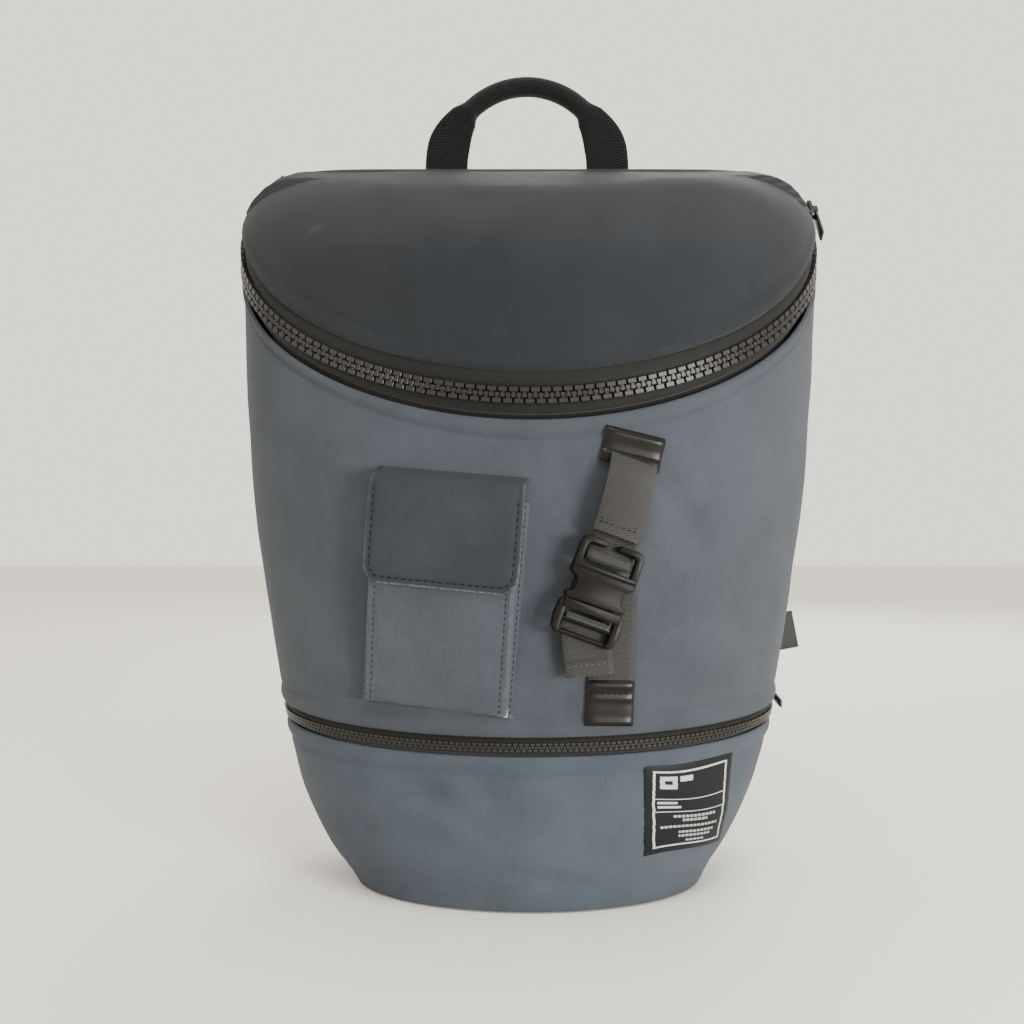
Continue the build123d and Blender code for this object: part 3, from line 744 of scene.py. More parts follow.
def make_lid():
    """The domed panel above the main zip, from rays that fan out of a point in the hood."""
    front, _ = ring(MAIN, MAIN_EDGE, 700, closing=0.08, back=LID_BACK_Y)
    spots = np.linspace(-1, 1, 300)[:, None] * (abs(front[0, 0]) - 1.0)
    start = np.hstack([spots, np.full_like(spots, LID_BACK_Y), np.full_like(spots, 400.0)])
    rim = np.vstack([front, cast(start, np.tile([0.0, 0.0, 1.0], (300, 1)))])
    edge, reach = disc(rim, CELLS)
    up = np.array([0, -math.sin(MAIN[2]), math.cos(MAIN[2])])
    tilt = (1 - reach) * math.pi / 2
    way = unit(unit(edge - LID_FOCUS) * np.cos(tilt) + up * np.sin(tilt))
    points = cast(np.tile(LID_FOCUS, (len(way), 1)), way)
    near_rim = np.clip((reach - 0.985) / 0.015, 0, 1)
    points = points * (1 - near_rim) + edge * near_rim
    gap = np.linalg.norm(points - edge, axis=1)
    lift = crease(points) * np.interp(gap, [0, 20], [0, 1])
    lift += edge_shape(gap) * np.interp(points[:, 1], [40, 58], [1, 0])
    points = (points + normals_at(points) * lift[:, None]).reshape(CELLS + 1, CELLS + 1, 3)
    wear = 0.1 * np.clip(1 - gap / 2.0, 0, 1).reshape(CELLS + 1, CELLS + 1)
    cloth("lid_shell", points, (400, 300), CANVAS_THICK, "lid", "canvas", [lid_shaded_canvas, lining],
          ["lid_canvas", "lid_lining"], wear)
    return rim


def make_bottom():
    front, _ = ring(FLOOR, 0.6, 500, out=-0.5)
    edge, reach = disc(close_rim(front, abs(front[0, 0]), 65.0, 1.4), 40)
    points = (np.array([0, 0, 1.2]) * (1 - reach) + edge * reach).reshape(41, 41, 3)
    cloth("bottom_sheet", points, (220, 140), 1.2, "root", "canvas", [lit_base_canvas, lining],
          ["bottom_panel"], flip=True)


lid_rim = make_lid()
make_bottom()
print("lid rim reaches", np.round(lid_rim.min(axis=0)), "to", np.round(lid_rim.max(axis=0)))

# %% [markdown]
# ## Back panel and piping
# The back is a flat panel whose outline follows the side walls. A thin cord wrapped in
# tape, called piping, is sewn into the seam all round it and protects the edge.

# %% Back
def back_outline(z):
    """Half width of the back panel at some heights."""
    start = np.stack([np.zeros_like(z), np.full_like(z, 62.5), z], axis=1)
    return cast(start, np.tile([1.0, 0, 0], (len(z), 1)))[:, 0]


def make_back():
    heights = np.linspace(1.5, 444.6, 90)
    half = back_outline(heights)
    spots = np.linspace(-1, 1, 70)
    across, up = half[:, None] * spots, np.repeat(heights[:, None], 70, axis=1)
    soft = np.array([[noise.noise(Vector((x, 0, z)) * 0.014) for x in row]
                     for row, z in zip(across, heights)])
    deep = 67.4 - 3.2 * np.abs(spots) ** 14 + soft * 0.9 * (1 - np.abs(spots) ** 6)
    cloth("back_sheet", np.stack([across, deep, up], axis=2), (330, 443), 1.4, "root", "back_mesh",
          [lit_base_canvas, lining], ["back_panel"], flip=True)
    return 2 * half.max()


def tube(name, points, radius, body, material, replaces=(), closed=False, sides=3):
    """A round bar through points in millimetres, made as a curve and turned into a mesh."""
    curve = bpy.data.curves.new(name, "CURVE")
    curve.dimensions = "3D"
    curve.bevel_depth, curve.bevel_resolution, curve.use_fill_caps = radius * MM, sides, True
    spline = curve.splines.new("POLY")
    spline.points.add(len(points) - 1)
    for spot, point in zip(spline.points, points):
        spot.co = (*(Vector(point) * MM), 1)
    spline.use_cyclic_u = closed
    holder = bpy.data.objects.new(name + "_line", curve)
    mesh = bpy.data.meshes.new_from_object(holder)
    bpy.data.objects.remove(holder)
    mesh.name = name
    mesh.materials.clear()
    mesh.polygons.foreach_set("use_smooth", [True] * len(mesh.polygons))
    return dress(add(name, mesh), body, [material], replaces)


def make_piping():
    """The cord goes down the right edge, along the foot and up the left edge."""
    side = np.linspace(428, 8, 120)
    right = np.stack([back_outline(side) + 0.6, np.full_like(side, 66.2), side], axis=1)
    corner = right[-1, 0]
    x = np.linspace(corner, -corner, 60)[1:-1]
    foot = np.stack([x, np.full_like(x, 65.6), 8 - 5.5 * (1 - (np.abs(x) / corner) ** 10)], axis=1)
    left = right[::-1] * np.array([-1, 1, 1])
    tube("piping", np.vstack([right, foot, left]), 2.0, "root", tape_cloth, ["back_binding"])


print("back panel", round(make_back()), "mm wide at most")
make_piping()

# %% [markdown]
# ## Zips
# A moulded zip is two tapes with plastic teeth along their facing edges. Each tooth has
# a root on its own tape and a wider head that locks between the heads opposite. One
# tooth is modelled and then placed again and again along the seam's ring, first on one
# side and then, half a pitch on, on the other.


# %% Zip builder
def soft_edge(bm, edges, width, segments=2, clamp=False):
    bmesh.ops.bevel(bm, geom=edges, offset=width, affect="EDGES", segments=segments, profile=0.5,
                    material=-1, clamp_overlap=clamp)


def tooth(pitch, root, height):
    """One tooth: X along the chain, Y from the middle out to its own tape, Z outwards."""
    bm = bmesh.new()
    foot, neck, head = (0.84, 0.4, 1.0, 1.0), (0.36, 0.1, 0.45, 0.85), (0.47, -0.3, 0.2, 1.0)
    for wide, low, high, tall in (foot, neck, head):
        wide, low, high, tall = wide * pitch, low * root, high * root, tall * height
        block = bmesh.ops.create_cube(bm, size=1.0)["verts"]
        bmesh.ops.scale(bm, verts=block, vec=(wide, high - low, tall))
        bmesh.ops.translate(bm, verts=block, vec=(0, (low + high) / 2, 0))
    soft_edge(bm, bm.edges, 0.05 * pitch, 1)
    mesh = bpy.data.meshes.new("tooth")
    bm.to_mesh(mesh)
    bm.free()
    return mesh


FINE = 900  # points of a ring that other things are placed along


def repeat(name, mesh, matrices, body, material, replaces=(), smooth=False):
    """One mesh placed many times in one piece."""
    bm = bmesh.new()
    for matrix in matrices:
        first = len(bm.verts)
        bm.from_mesh(mesh)
        bm.verts.ensure_lookup_table()
        bmesh.ops.transform(bm, matrix=matrix, verts=bm.verts[first:])
    bmesh.ops.scale(bm, vec=(MM, MM, MM), verts=bm.verts)
    return dress(link(name, bm, smooth), body, [material], replaces)


def place(origin, x_axis, z_axis):
    """A matrix with its X and Z axes along the given directions."""
    x_axis, z_axis = Vector(x_axis).normalized(), Vector(z_axis).normalized()
    y_axis = z_axis.cross(x_axis).normalized()
    return Matrix.Translation(origin) @ Matrix((x_axis, y_axis, z_axis)).transposed().to_4x4()


def chain_places(seam, pitch, phase, out, flip):
    """Evenly spaced places along a seam, X along it and Y towards one tape."""
    line, length = ring(seam, 0.0, FINE, out, back=ZIP_END_Y - 1)
    spots = (np.arange(int(length / pitch)) + phase) * pitch
    run = np.linspace(0, length, FINE)
    at = follow(spots, run, line)
    ahead = follow(spots, run, np.gradient(line, axis=0))
    return [place(p, t * flip, n) for p, t, n in zip(at, ahead, normals_at(at))]


def zip_tape(name, seam, sign, inner, edge, outer, body, out):
    """A woven tape from the chain to under the canvas."""
    shifts = np.array([inner, edge * 0.55, edge * 0.8, edge, edge + 1.2, outer]) * sign
    outs = np.array([out, out, out - 0.3, -2.4, -3.7, -3.7])
    lines = [ring(seam, shift, 240, depth, back=ZIP_END_Y + 4)[0] for shift, depth in zip(shifts, outs)]
    cloth(name, np.array(lines), (run_of(lines[0])[-1], outer), 0.7, body, "zip_tape", [zip_cloth],
          [name.replace("_cloth", "")], flip=sign > 0)


def make_zip(name, seam, pitch, root, height, edge, outer, out, bodies):
    for side_name, sign, body in (("lower", -1, bodies[0]), ("upper", 1, bodies[1])):
        zip_tape(f"{name}_tape_{side_name}_cloth", seam, sign, 0.5, edge, outer, body, out - height * 0.3)
        # the ring runs clockwise, so its X must be turned for Y to point up the bag
        places = chain_places(seam, pitch, 0.25 if sign < 0 else 0.75, out, -sign)
        repeat(f"{name}_teeth_{side_name}_row", tooth(pitch, root, height), places, body,
               teeth_plastic, [f"{name}_teeth_{side_name}"])


make_zip("main_zip", MAIN, 5.8, 4.4, 2.6, MAIN_EDGE, 13.0, 0.1, ("root", "lid"))
make_zip("lower_zip", LOWER, 3.1, 2.4, 1.6, LOWER_EDGE, 9.0, -0.3, ("root", "root"))

# %% [markdown]
# ## Places on the front
# The pocket and the buckle strap each have their own frame: across, along and out. A
# helper finds how far out the canvas is at any place in such a frame, creases and all, so
# that whatever is sewn there sits on the cloth instead of floating over it.

# %% Frames
class Bench:
    """A frame for one part: origin and the directions across, along and out."""

    def __init__(self, origin, across, out):
        self.origin = np.array(origin, float)
        self.out = np.array(out, float) / np.linalg.norm(out)
        across = np.array(across, float)
        across -= self.out * (across @ self.out)
        self.across = across / np.linalg.norm(across)
        self.along = np.cross(self.out, self.across)

    def at(self, across, along, out):
        across, along, out = (part[..., None] for part in np.broadcast_arrays(across, along, out))
        return self.origin + across * self.across + along * self.along + out * self.out

    def matrix(self):
        turn = Matrix((self.across, self.along, self.out)).transposed().to_4x4()
        return Matrix.Translation(self.origin) @ turn

    def cloth_at(self, across, along):
        """How far out the canvas is there."""
        across, along = np.broadcast_arrays(across, along)
        start = self.at(across, along, -60.0).reshape(-1, 3)
        spot = cast(start, np.tile(self.out, (len(start), 1)))
        return ((spot - self.origin) @ self.out + crease(spot)).reshape(across.shape)


def strap_bench(origin, tilt):
    turn = math.radians(tilt)
    return Bench(origin, (math.cos(turn), 0.14 * math.cos(turn), -math.sin(turn)), (0.14, -1, 0))


POCKET = Bench((-46.5, -80.0, 176.0), (0.985, -0.15, -0.087), (-0.15, -0.985, -0.035))
BUCKLE = strap_bench((33.5, -90.0, 178.5), 20.0)
UPPER = strap_bench((54.0, -86.6, 253.0), 13.0)
UNDER = strap_bench((42.0, -83.0, 117.0), 2.0)
print("canvas at the pocket's middle is", round(float(POCKET.cloth_at(0.0, 0.0)), 1), "mm out")

# %% [markdown]
# ## Stitches and bartacks
# Thread is a row of short, slightly sunk ovals. One oval is a sphere with a few faces,
# stretched, and placed along a line of points. A bartack is the dense block of stitches
# that takes the strain at the end of a seam.

# %% Thread
def stitch_row(name, line, facing, body, material, long=2.5, gap=1.2, wide=0.75):
    """Stitches along a line of points, each lying in the surface that faces that way."""
    line, facing = np.asarray(line, float), np.asarray(facing, float)
    run = run_of(line)
    spots = np.arange(long / 2, run[-1] - long / 2, long + gap)
    at, ahead = follow(spots, run, line), follow(spots + 0.4, run, line) - follow(spots - 0.4, run, line)
    if facing.ndim == 1:
        facing = np.tile(facing, (len(line), 1))
    out = follow(spots, run, facing)
    bm = bmesh.new()
    bmesh.ops.create_uvsphere(bm, u_segments=6, v_segments=4, radius=0.5)
    bmesh.ops.scale(bm, vec=(long, wide, wide * 0.8), verts=bm.verts)
    mesh = bpy.data.meshes.new("stitch")
    bm.to_mesh(mesh)
    bm.free()
    places = [place(p, q, n) for p, q, n in zip(at, ahead, out)]
    return repeat(name, mesh, places, body, material, smooth=True)


def join(name, pieces, body):
    """Several pieces of one finish and one body made into one."""
    bm = bmesh.new()
    for piece in pieces:
        bm.from_mesh(piece.data)
    smooth = pieces[0].data.polygons[0].use_smooth
    material = pieces[0].data.materials[0]
    for piece in pieces:
        bpy.data.objects.remove(piece)
    return dress(link(name, bm, smooth), body, [material])


print("thread helpers ready")

# %% [markdown]
# ## Cargo pocket
# The pocket is a bellows: a front panel with a narrow folded side at each edge. It
# stands away from the bag at the mouth and lies flat at its foot. The section across it
# is walked as one line, up the left side, over the front and down the right, and a small
# ridge marks each corner where two layers are stitched together.

# %% Pocket body
POCKET_HALF, POCKET_FOOT, POCKET_MOUTH = 38.6, -62.0, 53.0


def pocket_depth(along):
    return np.interp(along, [-66, -45, 0, 62], [1.0, 3.6, 9.0, 11.0])


def make_pocket():
    along = np.concatenate([np.linspace(POCKET_FOOT, POCKET_FOOT + 6, 6),
                            np.linspace(POCKET_FOOT + 8, POCKET_MOUTH, 50)])
    # across, share of depth, extra lift for the stitched ridge
    foot_half = POCKET_HALF + 3.6
    walk = [(-foot_half - 0.8, 0.0), (-foot_half, 0.02), (-foot_half + 1.2, 0.22), (-foot_half + 2.0, 0.3),
            (-foot_half + 2.4, 0.55), (-POCKET_HALF - 0.3, 0.94), (-POCKET_HALF + 0.5, 1.07),
            (-POCKET_HALF + 1.8, 1.07), (-POCKET_HALF + 3.4, 0.98)]
    middle = [(x, 1.0) for x in np.linspace(-POCKET_HALF + 5, POCKET_HALF - 5, 34)]
    section = walk + middle + [(-x, high) for x, high in reversed(walk)]
    across, share = np.array(section).T
    grid_across, grid_along = np.meshgrid(across, along)
    base = POCKET.cloth_at(grid_across, grid_along)
    front = POCKET.cloth_at(np.zeros_like(grid_along), grid_along)
    crown = np.cos(grid_across / POCKET_HALF * math.pi / 2) ** 2 * np.interp(grid_along, [-60, -20], [0, 1])
    top = np.maximum(front * 0.75 + base * 0.25, base) + pocket_depth(grid_along) + crown
    low = base - 0.6
    out = low + (top - low) * share
    sag = np.array([[noise.noise(Vector((x, z, 3)) * 0.03) for x in across] for z in along])
    out += sag * 1.1 * (share > 0.95)
    out[0] = low[0]
    out[1] = low[1] + (out[1] - low[1]) * 0.75
    wear = np.zeros_like(out)
    wear[:, 5:7] = wear[:, -7:-5] = 0.22
    wear[:3, :9] = wear[:3, -9:] = 0.4
    points = POCKET.at(grid_across, grid_along, out)
    cloth("pocket_sack", points, (108, 126), 1.3, "root", "canvas", [canvas, lining],
          ["pocket_body", "pocket_magnet"], wear)
    rows, tacks = [], []
    for side in (-1, 1):
        outward = POCKET.across * side
        # one row runs beside the ridge on the front, and one along the fold's side
        for cell, lift, facing in ((8, POCKET.out * 0.1, POCKET.out), (3, outward * 0.3, outward)):
            line = points[2:, cell if side < 0 else len(section) - 1 - cell] + lift
            rows.append(stitch_row("seam", line, facing, "root", thread, 1.9, 1.5, 0.6))
        spot = side * (POCKET_HALF + np.array([-1.5, 1.8]))
        for step in range(5):
            along_at = POCKET_FOOT + 1.2 + step * 0.9
            line = POCKET.at(spot, along_at, POCKET.cloth_at(spot, along_at) + 1.2)
            tacks.append(stitch_row("tack", line, POCKET.out, "root", pale_thread, 2.9, 0.1, 0.8))
    join("pocket_stitches", rows, "root")
    join("pocket_bartacks", tacks, "root")
    return float(out.max())


print("pocket stands", round(make_pocket(), 1), "mm out")

# %% [markdown]
# ## Pocket flap
# The flap is a doubled sheet, stitched round its three free edges. Its top is sewn to
# the bag and it turns down over the mouth. Each row of the grid is as wide as the outline
# is there, so that the two lower corners come out round. The edge is where hands rub it.

# %% Flap
FLAP_HALF, FLAP_FOOT, FLAP_CORNER, FLAP_OUT = 41.5, 5.0, 10.5, 14.6
FLAP_SEAM = 3.2  # the stitches' distance from the edge


def make_flap():
    steps = np.linspace(0, 1, 22)
    rows = np.concatenate([FLAP_FOOT + FLAP_CORNER * (1 - np.cos(steps * math.pi / 2)),
                           np.linspace(17, 52, 20), np.linspace(53, 62.8, 12)])
    cut = np.clip(FLAP_FOOT + FLAP_CORNER - rows, 0, FLAP_CORNER)
    half = FLAP_HALF - (FLAP_CORNER - np.sqrt(FLAP_CORNER ** 2 - cut ** 2))
    half -= np.interp(rows, [47, 62], [0, 1.0])
    spots = np.sin(np.linspace(-1, 1, 48) * math.pi / 2 * 0.86) / math.sin(math.pi / 2 * 0.86)
    across, along = half[:, None] * spots, np.repeat(rows[:, None], 48, axis=1)
    out = FLAP_OUT + 0.9 * np.cos(across / FLAP_HALF * 1.45)
    # the top turns down to its seam, and the free edges lean towards the bag
    turn = np.clip((along - 52) / 10.8, 0, 1)
    out -= 7.0 * (1 - np.sqrt(np.clip(1 - turn ** 2, 0, 1)))
    out -= 2.4 * np.clip((np.abs(across) - 32) / 10, 0, 1) ** 2
    # a soft diagonal bend from the upper right to the lower middle
    bend = (across * 0.75 + along * 0.66 - 30) / 14
    out += 0.9 * np.exp(-bend ** 2) - 0.7 * np.exp(-((bend - 1.7) / 1.2) ** 2) * (across > 0)
    edge_gap = np.minimum(half[:, None] - np.abs(across), along - FLAP_FOOT)
    out += -0.5 * np.exp(-((edge_gap - 3.2) / 1.1) ** 2) + 0.35 * np.exp(-((edge_gap - 1.4) / 1.2) ** 2)
    wear = np.clip(1 - edge_gap / 1.1, 0, 1) * np.interp(along, [5, 30], [1.0, 0.45])
    points = POCKET.at(across, along, out)
    cloth("flap_sheet", points, (93, 80), 2.0, "pocket_flap", "canvas", [shaded_flap_canvas, lining],
          ["pocket_flap", "flap_magnet"], wear, round_edge=0.7)
    # stitches run down the left, round the corners, along the foot and up the right
    radius, edge, foot = FLAP_CORNER - FLAP_SEAM, -FLAP_HALF + FLAP_SEAM, FLAP_FOOT + FLAP_SEAM
    path = [(edge, v) for v in np.linspace(55, foot + radius, 40)]
    path += [(edge + radius * (1 - math.cos(a)), foot + radius * (1 - math.sin(a)))
             for a in np.linspace(0, math.pi / 2, 12)]
    path += [(u, foot) for u in np.linspace(edge + radius, 0, 20)[1:]]
    path += [(-u, v) for u, v in reversed(path[:-1])]
    path = np.array(path)
    flat = np.stack([across.ravel(), along.ravel()], axis=1)
    lift = [out.ravel()[np.argmin(np.sum((flat - p) ** 2, axis=1))] for p in path]
    line = POCKET.at(path[:, 0], path[:, 1], np.array(lift) + 0.15)
    stitch_row("flap_stitches", line, POCKET.out, "pocket_flap", thread, 2.6, 1.3, 0.8)
    return len(path)


def make_flap_root():
    """The strip between the seam on the bag and the flap's fold."""
    across, share = np.meshgrid(np.linspace(-40.2, 40.2, 30), np.linspace(0, 1, 9))
    along = 62.0 + 3.2 * (1 - share) ** 2
    seam = POCKET.cloth_at(across, np.full_like(across, 64.5)) - 0.8
    out = seam + (8.3 - seam) * share
    cloth("flap_root", POCKET.at(across, along, out), (80, 8), 1.4, "root", "canvas", [shaded_flap_canvas],
          offset=0, flip=True)


print("flap, stitched round through", make_flap(), "places")
make_flap_root()

# %% [markdown]
# ## Webbing
# Webbing is woven narrow and thick, with ribs across it. A band is a grid that follows a
# line of stations in a frame, each with its place along, its height and its half width.

# %% Bands
WEBBING_WIDE, WEBBING_THICK, BAND_COLUMNS = 25.0, 1.4, 9
BAR_ALONG, BAR_OUT = 17.5, 4.5  # the buckle's two bars, up and down from its middle


def band(name, bench, stations, wide, thick, body, replaces=(), bow=0.0, round_edge=0.3, lean=0.0):
    """A strap in a frame. stations are (along, out) pairs from its lower end to its upper end."""
    stations = np.array(stations, float)
    run = run_of(stations)
    spots = np.linspace(0, run[-1], max(int(run[-1] / 1.1), 12))
    along, out = (np.interp(spots, run, stations[:, axis]) for axis in (0, 1))
    kernel = np.array([1, 2, 3, 2, 1]) / 9
    for _ in range(2):
        along[2:-2], out[2:-2] = np.convolve(along, kernel, "valid"), np.convolve(out, kernel, "valid")
    across = np.linspace(-wide / 2, wide / 2, BAND_COLUMNS)
    grid_across, grid_along = np.meshgrid(across, along)
    grid_out = out[:, None] + bow * (1 - (2 * grid_across / wide) ** 2)
    points = bench.at(grid_across + lean * grid_along, grid_along, grid_out)
    return cloth(name, points, (wide, run[-1]), thick, body, "webbing", [webbing], replaces,
                 offset=0, round_edge=round_edge)


# the upper webbing runs from under its tab to the socket's bar, bowing outwards
top = UPPER.at(1.0, -8.0, 1.4)
low_end = BUCKLE.at(0.0, BAR_ALONG, BAR_OUT)
climb = top - low_end
RUN = Bench(low_end, BUCKLE.across, np.cross(BUCKLE.across, climb))
reach = float(np.linalg.norm(climb))
lean = float((climb @ RUN.across) / (climb @ RUN.along))
# the loop goes behind the frame's crossbar, round the socket's bar and back under itself
LOOP = [(21.0, 1.2), (17.5, 0.2), (13.0, -3.6), (8.0, -5.0), (3.0, -4.6), (0.4, -3.4), (-2.4, -2.2),
        (-3.3, 0.0), (-2.3, 2.4), (0.3, 3.0), (2.8, 1.4), (4.4, -1.4), (6.6, -3.1), (9.6, -3.0),
        (12.0, -1.4), (14.4, 1.0), (17.0, 2.0)]
loop = band("strap_loop", RUN, LOOP, 25.2, 1.3, None, lean=lean, round_edge=0)
bulge = [(s, 3.2 + 2.2 * math.sin((s - 16) / (reach - 16) * math.pi))
         for s in np.linspace(20, reach - 6, 8)]
stations = [(12.6, 2.9), (14.5, 3.2), (17.0, 3.2), *bulge, (reach + 2.0, 0.6)]
strap = band("upper_strap", RUN, stations, 25.6, WEBBING_THICK, None, ["upper_webbing"], bow=0.5, lean=lean)
# how far along the run the strap comes out of its tab
bend = float((np.array([51.5, -87.3, 241.9]) - low_end) @ RUN.along)


def on_run(along, out):
    return tuple(RUN.at(lean * along, along, out) * MM)


on_run(16.0, 0.0)
on_run(6.0, 0.0)
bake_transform(loop)
on_run(bend + 3.0, 1.0)
on_run(bend - 4.0, 1.0)
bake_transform(strap)
rows = []
for step in (17.4, 19.2, 21.0):
    line = RUN.at(np.array([-11.0, 11.0]) + lean * step, np.array([step, step + 0.6]), 4.6)
    rows.append(stitch_row("seam", line, RUN.out, "upper_webbing", thread, 2.3, 0.8, 0.8))
join("strap_stitches", rows, "upper_webbing")

under = [(s, float(UNDER.cloth_at(0.0, s)) + lift)
         for s, lift in ((9.0, 1.8), (18, 1.2), (34, 1.6), (60, 1.4))]
band("under_strap", UNDER, under, WEBBING_WIDE, WEBBING_THICK, "root", ["lower_webbing"])

HANG = strap_bench(BUCKLE.at(0.0, -BAR_ALONG, BAR_OUT), -6.0)
turned = [(-17.2, 7.6), (-15.0, 7.0), (-14.4, 4.5), (-15.2, 1.8), (-18.5, 0.9), (-21.5, 0.4), (-24, 0.2)]
hanging = [(-27.5, -4.6), (-20, -4.1), (-8, -4.0), (-1.0, -3.3)]
band("tail_wrap", BUCKLE, turned, 24.0, 1.2, "buckle_plug")
band("tail_strap", HANG, hanging, 25.6, WEBBING_THICK, "buckle_plug", ["strap_tail"])
band("tail_hem", HANG, [(-27.4, -3.6), (-24, -3.1), (-19.6, -3.0)], 25.4, 1.2, "buckle_plug")
line = HANG.at(np.array([-11.8, 11.8]), -21.6, -2.35)
stitch_row("tail_stitches", line, BUCKLE.out, "buckle_plug", shiny_thread, 2.2, 0.9, 0.75)
print("upper strap is", round(reach), "mm from bar to tab")

# %% [markdown]
# ## Anchor tabs
# Each end of the strap is caught in a folded tab of coated tape. The fold makes a full
# roll along each edge, with a flat stitched valley between, so the section along the tab
# is a wave and it ends on the canvas.

# %% Tabs
def tab(name, bench, wide, profile, replaces):
    """A folded tab: profile is (along, lift above the canvas) from foot to top."""
    along = np.linspace(profile[0][0], profile[-1][0], 34)
    lift = np.interp(along, [p[0] for p in profile], [p[1] for p in profile])
    kernel = np.array([1, 2, 1]) / 4
    lift[1:-1] = np.convolve(lift, kernel, "valid")
    across = np.linspace(-wide / 2, wide / 2, 15)
    grid_across, grid_along = np.meshgrid(across, along)
    base = bench.cloth_at(np.zeros_like(grid_along), grid_along)
    ends = 1 - 0.35 * (np.abs(2 * grid_across / wide) ** 8)
    points = bench.at(grid_across, grid_along, base + lift[:, None] * ends)
    cloth(name, points, (wide, 18), 0.9, "root", "anchor_tape", [anchor_tape], replaces, round_edge=0.25)


upper_fold = [(-9.5, 3.0), (-8.6, 3.7), (-4, 3.2), (-2.6, 2.2), (1, 2.6), (3, 3.1), (6, 4.0), (8, 3.6),
              (9.2, 2.2), (9.8, 0.0)]
under_fold = [(-10.8, 0.0), (-10.2, 2.2), (-8.4, 3.4), (-6.0, 2.5), (2, 2.3), (4.4, 2.9), (6.2, 2.5),
              (8.4, 2.6), (10.6, 3.7), (13.0, 3.4), (14.2, 2.4)]
tab("upper_tab", UPPER, 33.0, upper_fold, ["upper_anchor"])
tab("under_tab", UNDER, 26.0, under_fold, ["lower_anchor"])
rows = []
for bench, half, along, lift, gap in ((UPPER, 14.0, -3.0, 2.6, 1.2), (UNDER, 11.8, 7.2, 2.9, 1.0)):
    line = bench.at(np.array([-half, half]), along, bench.cloth_at(0.0, along) + lift)
    rows.append(stitch_row("seam", line, bench.out, "root", thread, 2.2, gap, 0.7))
join("tab_stitches", rows, "root")
print("tabs done")

# %% [markdown]
# ## Moulded buckle
# The socket and the plug are injection mouldings, 9 mm thick, with every edge eased.
# A part like that is drawn as a few flat outlines. Each outline is a face with rounded
# corners, pulled up to its thickness, and then its long edges are bevelled.

# %% Plates
def plate(outline, low, high, corner=1.0, ease=0.5):
    """A bmesh plate from an outline of (across, along) between two heights."""
    bm = bmesh.new()
    bm.faces.new([bm.verts.new((x, y, low)) for x, y in outline])
    bmesh.ops.bevel(bm, geom=bm.verts[:], offset=corner, affect="VERTICES", segments=4, profile=0.5,
                    material=-1)
    made = bmesh.ops.extrude_face_region(bm, geom=bm.faces[:])["geom"]
    raised = [g for g in made if isinstance(g, bmesh.types.BMVert)]
    bmesh.ops.translate(bm, verts=raised, vec=(0, 0, high - low))
    bmesh.ops.recalc_face_normals(bm, faces=bm.faces)
    edges = [e for e in bm.edges if len(e.link_faces) == 2 and e.calc_face_angle() > 1.2]
    soft_edge(bm, edges, ease)
    return bm


def rod(half, along, out, radius):
    """A round bar across the frame."""
    bm = bmesh.new()
    bmesh.ops.create_cone(bm, cap_ends=True, segments=20, radius1=radius, radius2=radius, depth=2 * half)
    bmesh.ops.rotate(bm, verts=bm.verts, cent=(0, 0, 0), matrix=Matrix.Rotation(math.pi / 2, 3, "Y"))
    bmesh.ops.translate(bm, verts=bm.verts, vec=(0, along, out))
    return bm


def assemble(name, parts, node):
    """Several bmesh parts of the buckle put in place as one piece, in the stead of a CAD node."""
    whole = bmesh.new()
    for part in parts:
        mesh = bpy.data.meshes.new("part")
        part.to_mesh(mesh)
        part.free()
        whole.from_mesh(mesh)
        bpy.data.meshes.remove(mesh)
    bmesh.ops.transform(whole, matrix=BUCKLE.matrix(), verts=whole.verts)
    bmesh.ops.scale(whole, vec=(MM, MM, MM), verts=whole.verts)
    piece = link(name, whole)
    piece.modifiers.new("crisp", "EDGE_SPLIT").split_angle = math.radians(50)
    dress(piece, node, [buckle_plastic], [node])


def mirrored(outline):
    """The right half of an outline made whole."""
    return outline + [(-x, y) for x, y in reversed(outline)]


def on_side(side, outline):
    """An outline for one side, wound the same way on both."""
    return [(side * x, y) for x, y in outline][::-side]


print("plate helpers ready")

# %% Socket and plug
H = 17.5  # half the buckle's width
socket_face = mirrored([(11.5, -7), (15.6, -7), (16.6, -4.6), (13.2, -2.8), (12.6, 1.0), (13.6, 4.6),
                        (17.2, 6.2), (17.5, 9.6)])
hook = [(H - 3.9, 11), (H - 3.9, 21.6), (H - 5.6, 23.4), (2.6, 23.4), (3.8, 26.6), (H - 4.5, 26.6),
        (H - 1.4, 25.6), (H, 22.4), (H, 11)]
socket_parts = [
    plate(socket_face, 6.6, 9.0, 0.8, 0.6),
    plate(socket_face, 0.0, 2.2, 0.8, 0.5),
    plate([(-12.2, 3), (12.2, 3), (12.2, 9.5), (-12.2, 9.5)], 2.0, 7.0, 0.5, 0.2),
    plate([(-H, 9.4), (H, 9.4), (H, 12.2), (-H, 12.2)], 1.6, 8.6, 0.9, 0.6),
    rod(H - 2, BAR_ALONG, BAR_OUT, 1.7)]
socket_parts += [plate(on_side(side, hook), 2.6, 8.4, 0.9, 0.6) for side, _ in SIDES]
assemble("socket", socket_parts, "buckle_socket")

